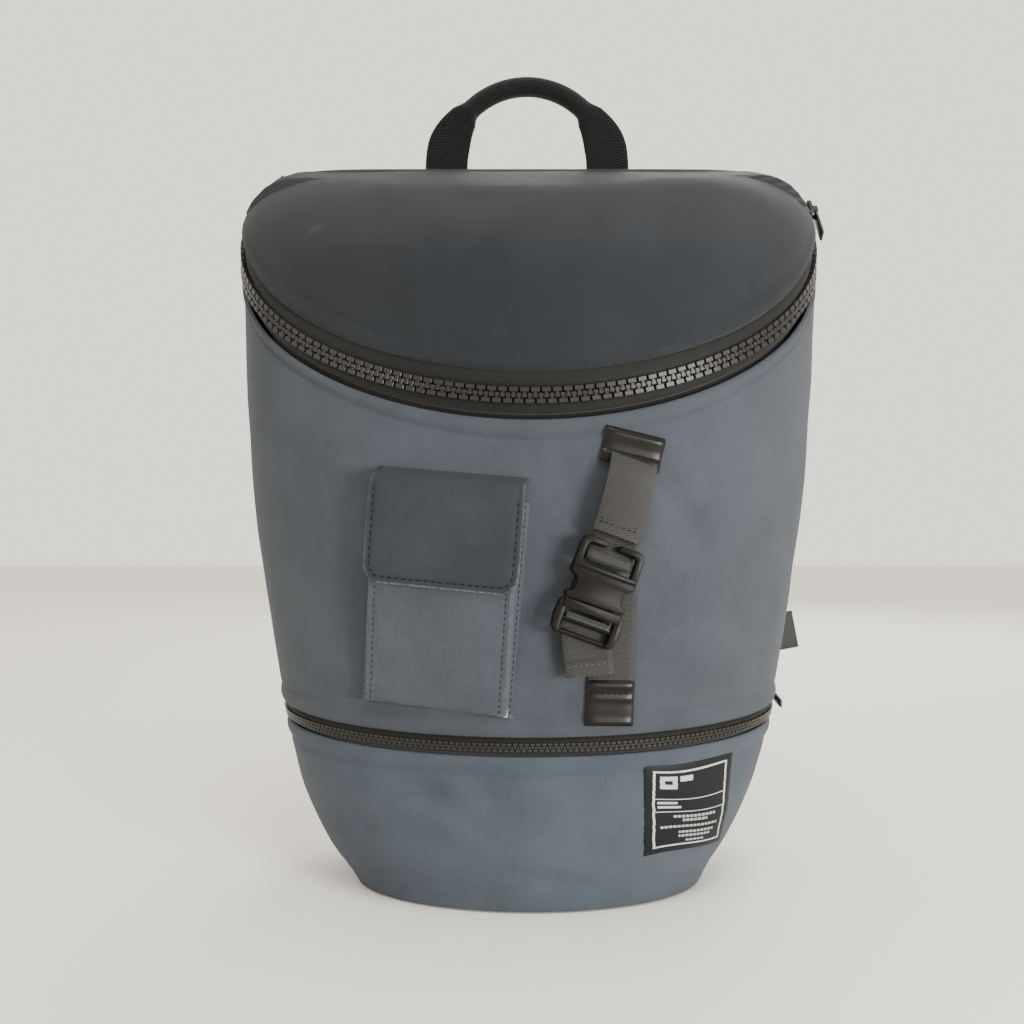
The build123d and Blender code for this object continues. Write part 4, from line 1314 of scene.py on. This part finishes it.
horn = [(13.4, -11), (13.4, -22.8), (12.2, -24.6), (14.6, -26.8), (17.2, -24.0), (18.4, -17.5),
        (17.6, -9.4), (15.5, -7.4)]
plug_parts = [plate(on_side(side, horn), 1.8, 7.4, 0.7, 0.6) for side, _ in SIDES] + [
    plate([(-15.5, -12.4), (15.5, -12.4), (15.5, -7.4), (-15.5, -7.4)], 1.0, 8.2, 0.6, 0.5),
    plate([(-2.6, -8), (2.6, -8), (2.2, 7), (-2.2, 7)], 2.6, 6.4, 0.4, 0.3),
    rod(14.5, -BAR_ALONG, BAR_OUT, 1.6),
    rod(14.0, -24.8, 3.9, 1.3)]
assemble("plug", plug_parts, "buckle_plug")

prong = [(8.2, -11), (10.6, -11), (11.4, -4.0), (13.9, -2.4), (14.2, 2.0), (13.2, 4.8), (10.8, 6.0),
         (9.0, 7.4), (7.6, 6.6), (8.4, 0)]
for side, name in SIDES:
    assemble(f"prong_{name}_spring", [plate(on_side(side, prong), 2.7, 6.3, 0.5, 0.5)], f"prong_{name}")
print("buckle parts", len(socket_parts) + len(plug_parts) + 2)

# %% [markdown]
# ## Grab handle
# The handle is one length of webbing. Its two ends lie flat against the back, and
# between them the webbing is rolled into a grip. The section is a ring of points that
# changes from a flat slot to a circle as it climbs, so flat and round join without a step.

# %% Handle
BACKWARD = np.array([0.0, 1, 0])
HANDLE_Y = 75.0


def round_section(columns, power):
    """Angles round a section, and how far a squarish ring stands outside a circle there."""
    turn = np.linspace(0, 2 * math.pi, columns)
    return turn, 1 / (np.abs(np.cos(turn)) ** power + np.abs(np.sin(turn)) ** power) ** (1 / power)


def handle_line(count):
    """Points of the handle in the plane of the back, from the left end to the right end."""
    side = [(-53.5, 416), (-53.5, 440), (-53.8, 452), (-52.5, 464), (-47.5, 476), (-38, 488.5),
            (-24, 498.6), (-8, 503.6)]
    stations = np.array(side + [(-x, z) for x, z in reversed(side)], float)
    curve = bpy.data.curves.new("handle_path", "CURVE")
    curve.dimensions = "3D"
    spline = curve.splines.new("NURBS")
    spline.points.add(len(stations) - 1)
    for spot, (x, z) in zip(spline.points, stations):
        spot.co = (x, 0, z, 1)
    spline.order_u, spline.use_endpoint_u, spline.resolution_u = 4, True, 16
    holder = bpy.data.objects.new("handle_path", curve)
    mesh = bpy.data.meshes.new_from_object(holder)
    line = np.array([v.co[:] for v in mesh.vertices])
    bpy.data.objects.remove(holder)
    bpy.data.meshes.remove(mesh)
    return even(line, count)


def make_handle():
    rows, columns = 150, 37
    line, length = handle_line(rows)
    spots = np.linspace(0, length, rows)
    from_end = np.minimum(spots, length - spots)
    roll = np.interp(from_end, [0, 46, 70, 78, 400], [0, 0, 0.55, 1, 1])
    roll = roll * roll * (3 - 2 * roll)
    wide = 14.0 * (1 - roll) + 6.4 * roll
    thick = 1.7 * (1 - roll) + 6.4 * roll + 1.2 * np.exp(-((from_end - 72) / 4) ** 2)
    side_way = np.cross(BACKWARD, unit(np.gradient(line, axis=0)))
    turn, squarish = round_section(columns, 6)
    flat = (1 - roll)[:, None] * (squarish - 1) + 1
    across, deep = wide[:, None] * np.cos(turn) * flat, thick[:, None] * np.sin(turn) * flat
    points = line[:, None] + side_way[:, None] * across[..., None] + BACKWARD * deep[..., None]
    points[:, :, 1] += HANDLE_Y
    piece = cloth("handle_grip", points, (60, length), 0, None, "webbing", [handle_webbing],
                  ["handle_webbing", "handle_core"])
    bm = bmesh.new()
    bm.from_mesh(piece.data)
    bmesh.ops.remove_doubles(bm, verts=bm.verts, dist=0.02 * MM)
    bmesh.ops.holes_fill(bm, edges=[e for e in bm.edges if e.is_boundary], sides=80)
    bmesh.ops.recalc_face_normals(bm, faces=bm.faces)
    bm.to_mesh(piece.data)
    bm.free()
    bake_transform(piece)
    return length


print("handle webbing", round(make_handle()), "mm long")

# %% [markdown]
# ## Label
# A woven label is sewn low on the right. It carries a frame, rules and plain blocks in
# place of any name. It lies on the base panel's rings, so it wraps round as cloth does.

# %% Label
LABEL_WIDE, LABEL_TALL, LABEL_FOOT = 60.0, 53.0, 31.0


def make_label():
    rows, columns = 34, 30
    grid = []
    for part in np.linspace(0, 1, rows):
        z = LABEL_FOOT + LABEL_TALL * part
        line, length = ring((0.0, z, 0.0), 0.0, FINE)
        order = line[::-1]
        start = int(np.argmin(np.abs(order[:, 0] - (62.5 - 1.5 * part)) + 1000 * (order[:, 1] > 0)))
        spots = start + np.linspace(0, LABEL_WIDE, columns) / (length / (FINE - 1))
        picks = follow(spots, np.arange(FINE), order)
        picks[:, 2] += 1.2 * np.sin(np.linspace(0, 1, columns) * 5 + part * 3)
        grid.append(picks)
    points = np.array(grid)
    normal = normals_at(points)
    lift = crease(points.reshape(-1, 3)).reshape(rows, columns)
    u, v = np.meshgrid(np.linspace(-1, 1, columns), np.linspace(-1, 1, rows))
    puff = 0.75 - 0.5 * np.maximum(np.abs(u), np.abs(v)) ** 10 + 0.2 * np.sin(v * 5 + u * 2)
    points = points + normal * (lift + puff)[:, :, None]
    return cloth("label_sheet", points, (LABEL_WIDE, LABEL_TALL), 0.5, "root", "label", [label],
                 ["label_patch"], offset=0, round_edge=0.15)


print("label", len(make_label().data.vertices), "vertices")

# %% [markdown]
# ## Padding
# Foam wrapped in cloth has full sides and pulled corners. Each pad starts a little
# small, as a closed ring of points swept along a line. It is remeshed into even cells,
# blown up with a cloth simulation for twenty frames, and no point may move further than
# a cap. The sewn channels come after that, because remeshing would erase them.

# %% Stuffing
PAD_CELL, PAD_PRESSURE, PAD_FRAMES = 4.5, 4.0, 20
PAD_CORNER, PAD_MIDDLE_Y, PAD_BACK_Y = 16, 72.4, 68.3


def swept(name, line, half_wide, half_thick, power, columns=28):
    """A closed mesh swept along a line: its sizes are arrays along it."""
    tangent = unit(np.gradient(line, axis=0))
    side_way = unit(np.cross(tangent, BACKWARD))
    out_way = np.cross(side_way, tangent)
    turn, squarish = round_section(columns + 1, power)
    across = half_wide[:, None] * (np.cos(turn) * squarish)
    deep = half_thick[:, None] * (np.sin(turn) * squarish)
    points = line[:, None] + side_way[:, None] * across[..., None] + out_way[:, None] * deep[..., None]
    rows = len(line)
    bm = bmesh.new()
    bmesh.ops.create_grid(bm, x_segments=columns, y_segments=rows - 1, size=0.5)
    for vert, (row, column) in zip(bm.verts, cells_of(bm, rows, columns + 1)):
        vert.co = Vector(points[row, column]) * MM
    bmesh.ops.remove_doubles(bm, verts=bm.verts, dist=0.01 * MM)
    bmesh.ops.holes_fill(bm, edges=[e for e in bm.edges if e.is_boundary], sides=0)
    bmesh.ops.recalc_face_normals(bm, faces=bm.faces)
    return link(name, bm)


def as_mesh(piece):
    """The piece's mesh with its modifiers applied."""
    made = bpy.data.meshes.new_from_object(piece.evaluated_get(bpy.context.evaluated_depsgraph_get()))
    piece.modifiers.clear()
    piece.data = made
    return made


def coordinates(mesh):
    spots = np.empty(len(mesh.vertices) * 3)
    mesh.vertices.foreach_get("co", spots)
    return spots.reshape(-1, 3)


def stuff(piece, cap):
    """The cloth recipe: even cells, twenty frames of pressure, and a cap on the movement."""
    cells = piece.modifiers.new("cells", "REMESH")
    cells.mode, cells.voxel_size = "VOXEL", PAD_CELL * MM
    mesh = as_mesh(piece)
    rest = coordinates(mesh)
    sim = piece.modifiers.new("cloth", "CLOTH")
    sim.settings.use_pressure, sim.settings.uniform_pressure_force = True, PAD_PRESSURE
    sim.settings.effector_weights.gravity = 0.0
    for frame_number in range(1, PAD_FRAMES + 1):
        bpy.context.scene.frame_set(frame_number)
    mesh = as_mesh(piece)
    move = coordinates(mesh) - rest
    length = np.linalg.norm(move, axis=1, keepdims=True)
    move *= np.minimum(1, cap * MM / np.maximum(length, 1e-9))
    mesh.vertices.foreach_set("co", (rest + move).ravel())
    bpy.context.scene.frame_set(1)
    bm = bmesh.new()
    bm.from_mesh(mesh)
    for _ in range(3):
        bmesh.ops.smooth_vert(
            bm, verts=bm.verts, factor=0.5, use_axis_x=True, use_axis_y=True, use_axis_z=True)
    bm.to_mesh(mesh)
    bm.free()
    mesh.polygons.foreach_set("use_smooth", [True] * len(mesh.polygons))
    return mesh


def press(mesh, rule):
    """Moves every vertex by a rule on millimetres, for channels and flat backs."""
    mesh.vertices.foreach_set("co", (rule(coordinates(mesh) / MM) * MM).ravel())
    mesh.update()


def soften(piece):
    round_off = piece.modifiers.new("round", "SUBSURF")
    round_off.levels = round_off.render_levels = 1


print("padding helpers ready")

# %% Back pads
def rounded_line(start, end, count=34):
    """A straight line whose points crowd towards both ends, and how far each is from an end."""
    share = (1 - np.cos(np.linspace(0, math.pi, count))) / 2
    way = np.array(end) - np.array(start)
    return np.array(start) + way * share[:, None], np.minimum(share, 1 - share) * np.linalg.norm(way)


def back_pad(name, start, end, half_wide, node, channels, axis):
    """A pad with sewn channels across it, at some places along one axis."""
    line, gap = rounded_line(start, end)
    round_in = np.sqrt(np.clip(1 - np.clip(1 - gap / PAD_CORNER, 0, 1) ** 2, 0.02, 1))
    pad = swept(name, line, half_wide - PAD_CORNER * (1 - round_in), 3.4 * np.sqrt(round_in), 3.2)
    mesh = stuff(pad, 5.0)

    def rule(p):
        thick = np.clip(p[:, 1] - PAD_BACK_Y, 0, None)
        dip = sum(np.exp(-((p[:, axis] - c) / 2.6) ** 2) for c in channels)
        p[:, 1] = PAD_BACK_Y + thick * (1 - 0.62 * np.clip(dip, 0, 1))
        return p

    press(mesh, rule)
    soften(pad)
    return dress(pad, "root", [back_mesh], [node])


for side, name in SIDES:
    foot, head = ((side * 52, PAD_MIDDLE_Y, z) for z in (131, 379))
    back_pad(f"pad_{name}", foot, head, 36.0, f"back_pad_{name}", (192, 255, 318), 2)
left, right = ((x, PAD_MIDDLE_Y, 90) for x in (-89, 89))
back_pad("pad_lumbar", left, right, 30.0, "lumbar_pad", (-42, 42), 0)
print("back pads done")

# %% [markdown]
# ## Shoulder straps
# A shoulder strap is a long pad that curves away from the back. It has a bound edge all
# round and a length of webbing stitched down its face, which ends in the ladder lock.

# %% Shoulder straps
STRAP_SIDE = np.array([(78, 428), (84, 400), (94, 340), (98, 270), (92, 200), (86, 152)])     # y, z
STRAP_FRONT = np.array([(40, 440), (47, 390), (64, 320), (78, 250), (86, 190), (89, 140)])    # x, z


def strap_line(side, heights):
    """Middle of a shoulder strap at some heights, smooth between its stations."""
    kernel = np.hanning(9) / np.hanning(9).sum()
    fine = np.linspace(438, 140, 150)
    x = np.interp(-fine, -STRAP_FRONT[:, 1], STRAP_FRONT[:, 0])
    y = np.interp(-fine, -STRAP_SIDE[:, 1], STRAP_SIDE[:, 0])
    for _ in range(3):
        x[4:-4], y[4:-4] = np.convolve(x, kernel, "valid"), np.convolve(y, kernel, "valid")
    return np.stack([side * np.interp(-heights, -fine, x), np.interp(-heights, -fine, y), heights], axis=1)


def outer_way(line):
    """The way out of a shoulder strap, square to its line and to the bag's width."""
    tangent = unit(np.gradient(line, axis=0))
    return unit(BACKWARD - tangent * tangent[:, 1:2])


def side_ways(line, out):
    return unit(np.cross(np.gradient(line, axis=0), out))


def band_3d(name, line, out, wide, thick, body, replaces=()):
    """A strap along points in space, lying square to the given outward directions."""
    across = np.linspace(-wide / 2, wide / 2, BAND_COLUMNS)
    points = line[:, None] + side_ways(line, out)[:, None] * across[:, None]
    return cloth(name, points, (wide, run_of(line)[-1]), thick, body, "webbing", [webbing], replaces,
                 offset=0, round_edge=0.3)


def shoulder_strap(name, side):
    body = f"shoulder_strap_{name}"
    heights = np.concatenate(
        [np.linspace(426, 419, 5), np.linspace(412, 176, 44), np.linspace(171, 153, 8)])
    line = strap_line(side, heights)
    gap_top, gap_low = 426 - heights, heights - 153
    narrow = np.interp(gap_low, [0, 6, 22, 40], [14.5, 17, 24, 28.0])
    narrow *= np.interp(gap_top, [0, 3, 9], [0.8, 0.93, 1.0])
    thin = np.interp(gap_low, [0, 6, 14], [0.4, 0.8, 1]) * np.interp(gap_top, [0, 8], [0.35, 1])
    pad = swept(f"strap_pad_{name}", line, narrow, 4.4 * np.sqrt(np.clip(thin, 0.1, 1)), 2.6)
    stuff(pad, 4.0)
    soften(pad)
    dress(pad, body, [strap_cloth], [f"shoulder_pad_{name}"])
    reach = side_ways(line, outer_way(line)) * (narrow + 0.6)[:, None]
    edges = np.vstack([line + reach, (line - reach)[::-1]])
    tube(f"strap_binding_{name}", edges, 2.2, body, tape_cloth, closed=True, sides=2)
    face = strap_line(side, np.linspace(408, 156, 60))
    lift = np.interp(face[:, 2], [156, 170, 395, 408], [2.0, 6.2, 6.4, 4.6])
    face = face + outer_way(face) * lift[:, None]
    out = outer_way(face)
    band_3d(f"strap_face_{name}", face, out, WEBBING_WIDE, WEBBING_THICK, body)
    rows = []
    for edge in (-10.6, 10.6):
        seam = face + side_ways(face, out) * edge + out * 0.8
        rows.append(stitch_row("seam", seam, out, body, thread, 3.0, 1.6, 0.8))
    join(f"strap_seams_{name}", rows, body)


for side, name in SIDES:
    shoulder_strap(name, side)
print("shoulder straps done")

# %% [markdown]
# ## Hardware copied from the frame
# The sliders, pulls and ladder locks are hard parts whose shape the frame already has.
# A copy of each is merged into solid faces and every sharp edge gets a small bevel,
# which is what makes moulded and cast parts catch the light.

# %% Eased copies
def eased(node, width, slot, material):
    """A copy of a CAD node with bevelled edges, which rides on the body of the same name."""
    bm = bmesh.new()
    bm.from_mesh(nodes[node].data)
    bmesh.ops.remove_doubles(bm, verts=bm.verts, dist=0.002 * MM)
    bmesh.ops.dissolve_limit(bm, angle_limit=0.03, verts=bm.verts, edges=bm.edges)
    sharp = [e for e in bm.edges if len(e.link_faces) == 2 and e.calc_face_angle() > 0.6]
    soft_edge(bm, sharp, width * MM, clamp=True)
    piece = link(node + "_part", bm)
    piece.modifiers.new("crisp", "EDGE_SPLIT").split_angle = math.radians(40)
    dress(piece, node, [material], [node])


for which in ("main_zip", "lower_zip"):
    for part in ("slider", "pull"):
        eased(f"{which}_{part}", 0.3, "zip_metal", zip_metal)
for _, name in SIDES:
    eased(f"ladder_lock_{name}", 0.5, "buckle_plastic", buckle_plastic)

# %% [markdown]
# ## Lower harness
# A fabric wing sewn into each side seam holds the webbing that comes up to the ladder
# lock. The webbing's free end hangs from the lock.

# %% Wings, webbing and loops
TAILS = {"left": [(-90, 128), (-86, 84), (-82, 44)],       # x, z of each free end
         "right": [(101, 126), (140, 133), (182, 141)]}
TAIL_Y = 87.9


def between(points, count):
    """Evenly spaced points along a short list of stations, with its bends eased."""
    line, _ = even(np.array(points, float), count)
    for _ in range(6):
        line[1:-1] = (line[:-2] + 2 * line[1:-1] + line[2:]) / 4
    return line


def lower_harness(name, side):
    corners = np.array([(92, 26), (134, 34), (137, 64), (98, 72)], float) * (side, 1)
    u, v = np.meshgrid(np.linspace(0, 1, 16), np.linspace(0, 1, 16))
    low = corners[0] + (corners[1] - corners[0]) * u[..., None]
    high = corners[3] + (corners[2] - corners[3]) * u[..., None]
    flat = low + (high - low) * v[..., None]
    puff = 70.4 + 0.9 * np.sin(u * math.pi) * np.sin(v * math.pi)
    # the outer edge leans in to its seam behind the piping
    puff -= 3.0 * np.clip((u - 0.8) / 0.2, 0, 1) ** 2
    points = np.stack([flat[..., 0], puff, flat[..., 1]], axis=2)
    cloth(f"wing_{name}_cloth", points, (42, 40), 2.4, "root", "canvas", [tape_cloth], [f"wing_{name}"],
          flip=side < 0, offset=0, round_edge=0.5)
    stations = [(114, 73.2, 58), (111, 75.5, 68), (103, 80.2, 92), (93, 84.6, 117)]
    line = between([(side * x, y, z) for x, y, z in stations], 40)
    run = band_3d(f"strap_run_{name}", line, (0.0, 1.0, -0.15), WEBBING_WIDE, WEBBING_THICK, None,
                  [f"strap_webbing_{name}"])
    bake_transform(run)
    line = between([(x, TAIL_Y, z) for x, z in TAILS[name]], 60)
    band_3d(f"free_end_{name}", line, BACKWARD, WEBBING_WIDE, WEBBING_THICK, f"ladder_lock_{name}",
            [f"webbing_tail_{name}"])
    band_3d(f"free_hem_{name}", line[-9:] + BACKWARD * 1.3, BACKWARD, 24.6, 1.2, f"ladder_lock_{name}")
    lock = Bench((side * 88.5, 85.0, 145.75), (-1, 0, 0), (0, 1, 0))
    loop = [(12, -2.0), (6, -3.0), (0, -3.9), (-3.4, -2.6), (-3.9, 0), (-3.2, 2.8), (0, 3.9), (6, 4.2),
            (14, 5.2)]
    band(f"lock_loop_{name}_web", lock, loop, WEBBING_WIDE, 1.3, f"shoulder_strap_{name}",
         [f"lock_loop_{name}"])


for side, name in SIDES:
    lower_harness(name, side)
print("lower harness done")

# %% [markdown]
# ## Yoke, handle anchors and hinge
# The shoulder straps and the handle are sewn on under plain patches with boxed
# stitching. A strip of cloth covers the line on which the lid hinges.

# %% Patches on the back
def patch(name, x0, x1, z0, z1, y, thick, material, slot, replaces=()):
    """A plain patch on the back, with a slight crown."""
    u, v = np.meshgrid(np.linspace(-1, 1, 24), np.linspace(-1, 1, 12))
    x, z = (x0 + x1) / 2 + u * (x1 - x0) / 2, (z0 + z1) / 2 + v * (z1 - z0) / 2
    lift = y + 0.6 * (1 - np.maximum(np.abs(u), np.abs(v)) ** 6)
    points = np.stack([x, lift, z], axis=2)
    cloth(name, points, (x1 - x0, z1 - z0), thick, "root", slot, [material], replaces, flip=True,
          round_edge=0.4)


def box_stitch(x0, x1, z0, z1, y, cross=True):
    """Lines of a boxed seam: the four sides and the two diagonals."""
    corners = [(x0, z0), (x1, z0), (x1, z1), (x0, z1), (x0, z0)]
    lines = list(zip(corners, corners[1:]))
    if cross:
        lines += [((x0, z0), (x1, z1)), ((x0, z1), (x1, z0))]
    ends = [[(x, y, z) for x, z in line] for line in lines]
    return [stitch_row("seam", pair, BACKWARD, "root", shiny_thread, 2.6, 1.2, 0.8)
            for pair in ends]


patch("yoke_patch", -85, 85, 391, 409, 70.4, 2.4, strap_cloth, "canvas", ["strap_yoke"])
seams = box_stitch(-82.5, 82.5, 393.5, 406.5, 71.1, cross=False)
for side in (-1, 1):
    x0, x1 = sorted((side * 37.5, side * 68.5))
    patch(f"anchor_patch_{side + 1}", x0, x1, 411.5, 436.5, 72.2, 3.8, handle_webbing, "webbing",
          ["handle_anchors"] if side > 0 else ())
    patch(f"anchor_step_{side + 1}", x0 + 1.5, x1 - 1.5, 432, 437.5, 76.2, 4.4, handle_webbing, "webbing")
    seams += box_stitch(x0 + 4, x1 - 4, 413.5, 428.5, 72.9)
join("back_seams", seams, "root")


def make_hinge_strip():
    """Cast on the form round the back corner of the top, with its rims sunk into the cloth."""
    x, turn = np.meshgrid(np.linspace(-140, 140, 60), np.radians(np.linspace(22, 77, 20)))
    start = np.stack([x, np.full_like(x, 52.0), np.full_like(x, 427.0)], axis=2).reshape(-1, 3)
    way = np.stack([np.zeros_like(x), np.cos(turn), np.sin(turn)], axis=2).reshape(-1, 3)
    sink = 1.1 - 2.3 * np.abs(np.linspace(-1, 1, 20)[:, None]) ** 6 - 1.5 * (np.abs(x) / 140) ** 10
    points = cast(start, way, sink.ravel()).reshape(20, 60, 3)
    strip = cloth("hinge_strip", points, (284, 20), 1.0, None, "canvas", [lid_shaded_canvas], flip=True)
    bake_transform(strip)


make_hinge_strip()
print("back patches done")

# %% [markdown]
# ## Inside
# With the lid open a person sees the lining, the laptop sleeve with its bound top edge,
# and the floor that parts the main space from the zipped compartment below.

# %% Sleeve and floor
SLEEVE_HALF, SLEEVE_CORNER, SLEEVE_MIDDLE, SLEEVE_TALL = 125, 20, 255, 130
FLOOR_RISE = 12.0  # the compartment's floor above the lower zip


def make_sleeve():
    """A padded front panel with round lower corners, and its bound top edge."""
    u, v = np.meshgrid(np.linspace(-1, 1, 40), np.linspace(-1, 1, 44))
    z = SLEEVE_MIDDLE + v * SLEEVE_TALL
    cut = np.clip(SLEEVE_CORNER - (z - (SLEEVE_MIDDLE - SLEEVE_TALL)), 0, SLEEVE_CORNER)
    x = u * (SLEEVE_HALF - (SLEEVE_CORNER - np.sqrt(SLEEVE_CORNER ** 2 - cut ** 2)))
    puff = 44.6 - 1.6 * np.sin((u + 1) * math.pi / 2) * np.sin((v + 1) * math.pi / 2)
    puff += 0.8 * np.sin(v * 9 + u * 3)
    cloth("sleeve_front", np.stack([x, puff, z], axis=2), (250, 260), 4.6, "root", "lining", [lining],
          ["laptop_sleeve"], round_edge=0.8)
    wave = 46.6 + 0.5 * np.sin(np.linspace(0, 9, 60))
    line = np.stack([np.linspace(-124, 124, 60), wave, np.full(60, 387.6)], axis=1)
    tube("sleeve_edge", line, 3.4, "root", tape_cloth, ["sleeve_binding"])


def make_compartment_floor():
    front, _ = ring(LOWER, FLOOR_RISE, 400, out=-3.4, back=61.0)
    edge, reach = disc(close_rim(front, abs(front[0, 0]) - 1, 61.5, front[0, 2]), 50)
    middle = np.array([0, 0, LOWER[1] - LOWER[0] * math.tan(LOWER[2]) + FLOOR_RISE])
    points = middle * (1 - reach) + edge * reach
    points[:, 2] += -1.2 * (1 - reach[:, 0] ** 2) + 0.5 * np.sin(points[:, 0] * 0.08)
    cloth("floor_cloth", points.reshape(51, 51, 3), (280, 140), 1.2, "root", "lining", [lining],
          ["compartment_floor"])


make_sleeve()
make_compartment_floor()
print("inside done")
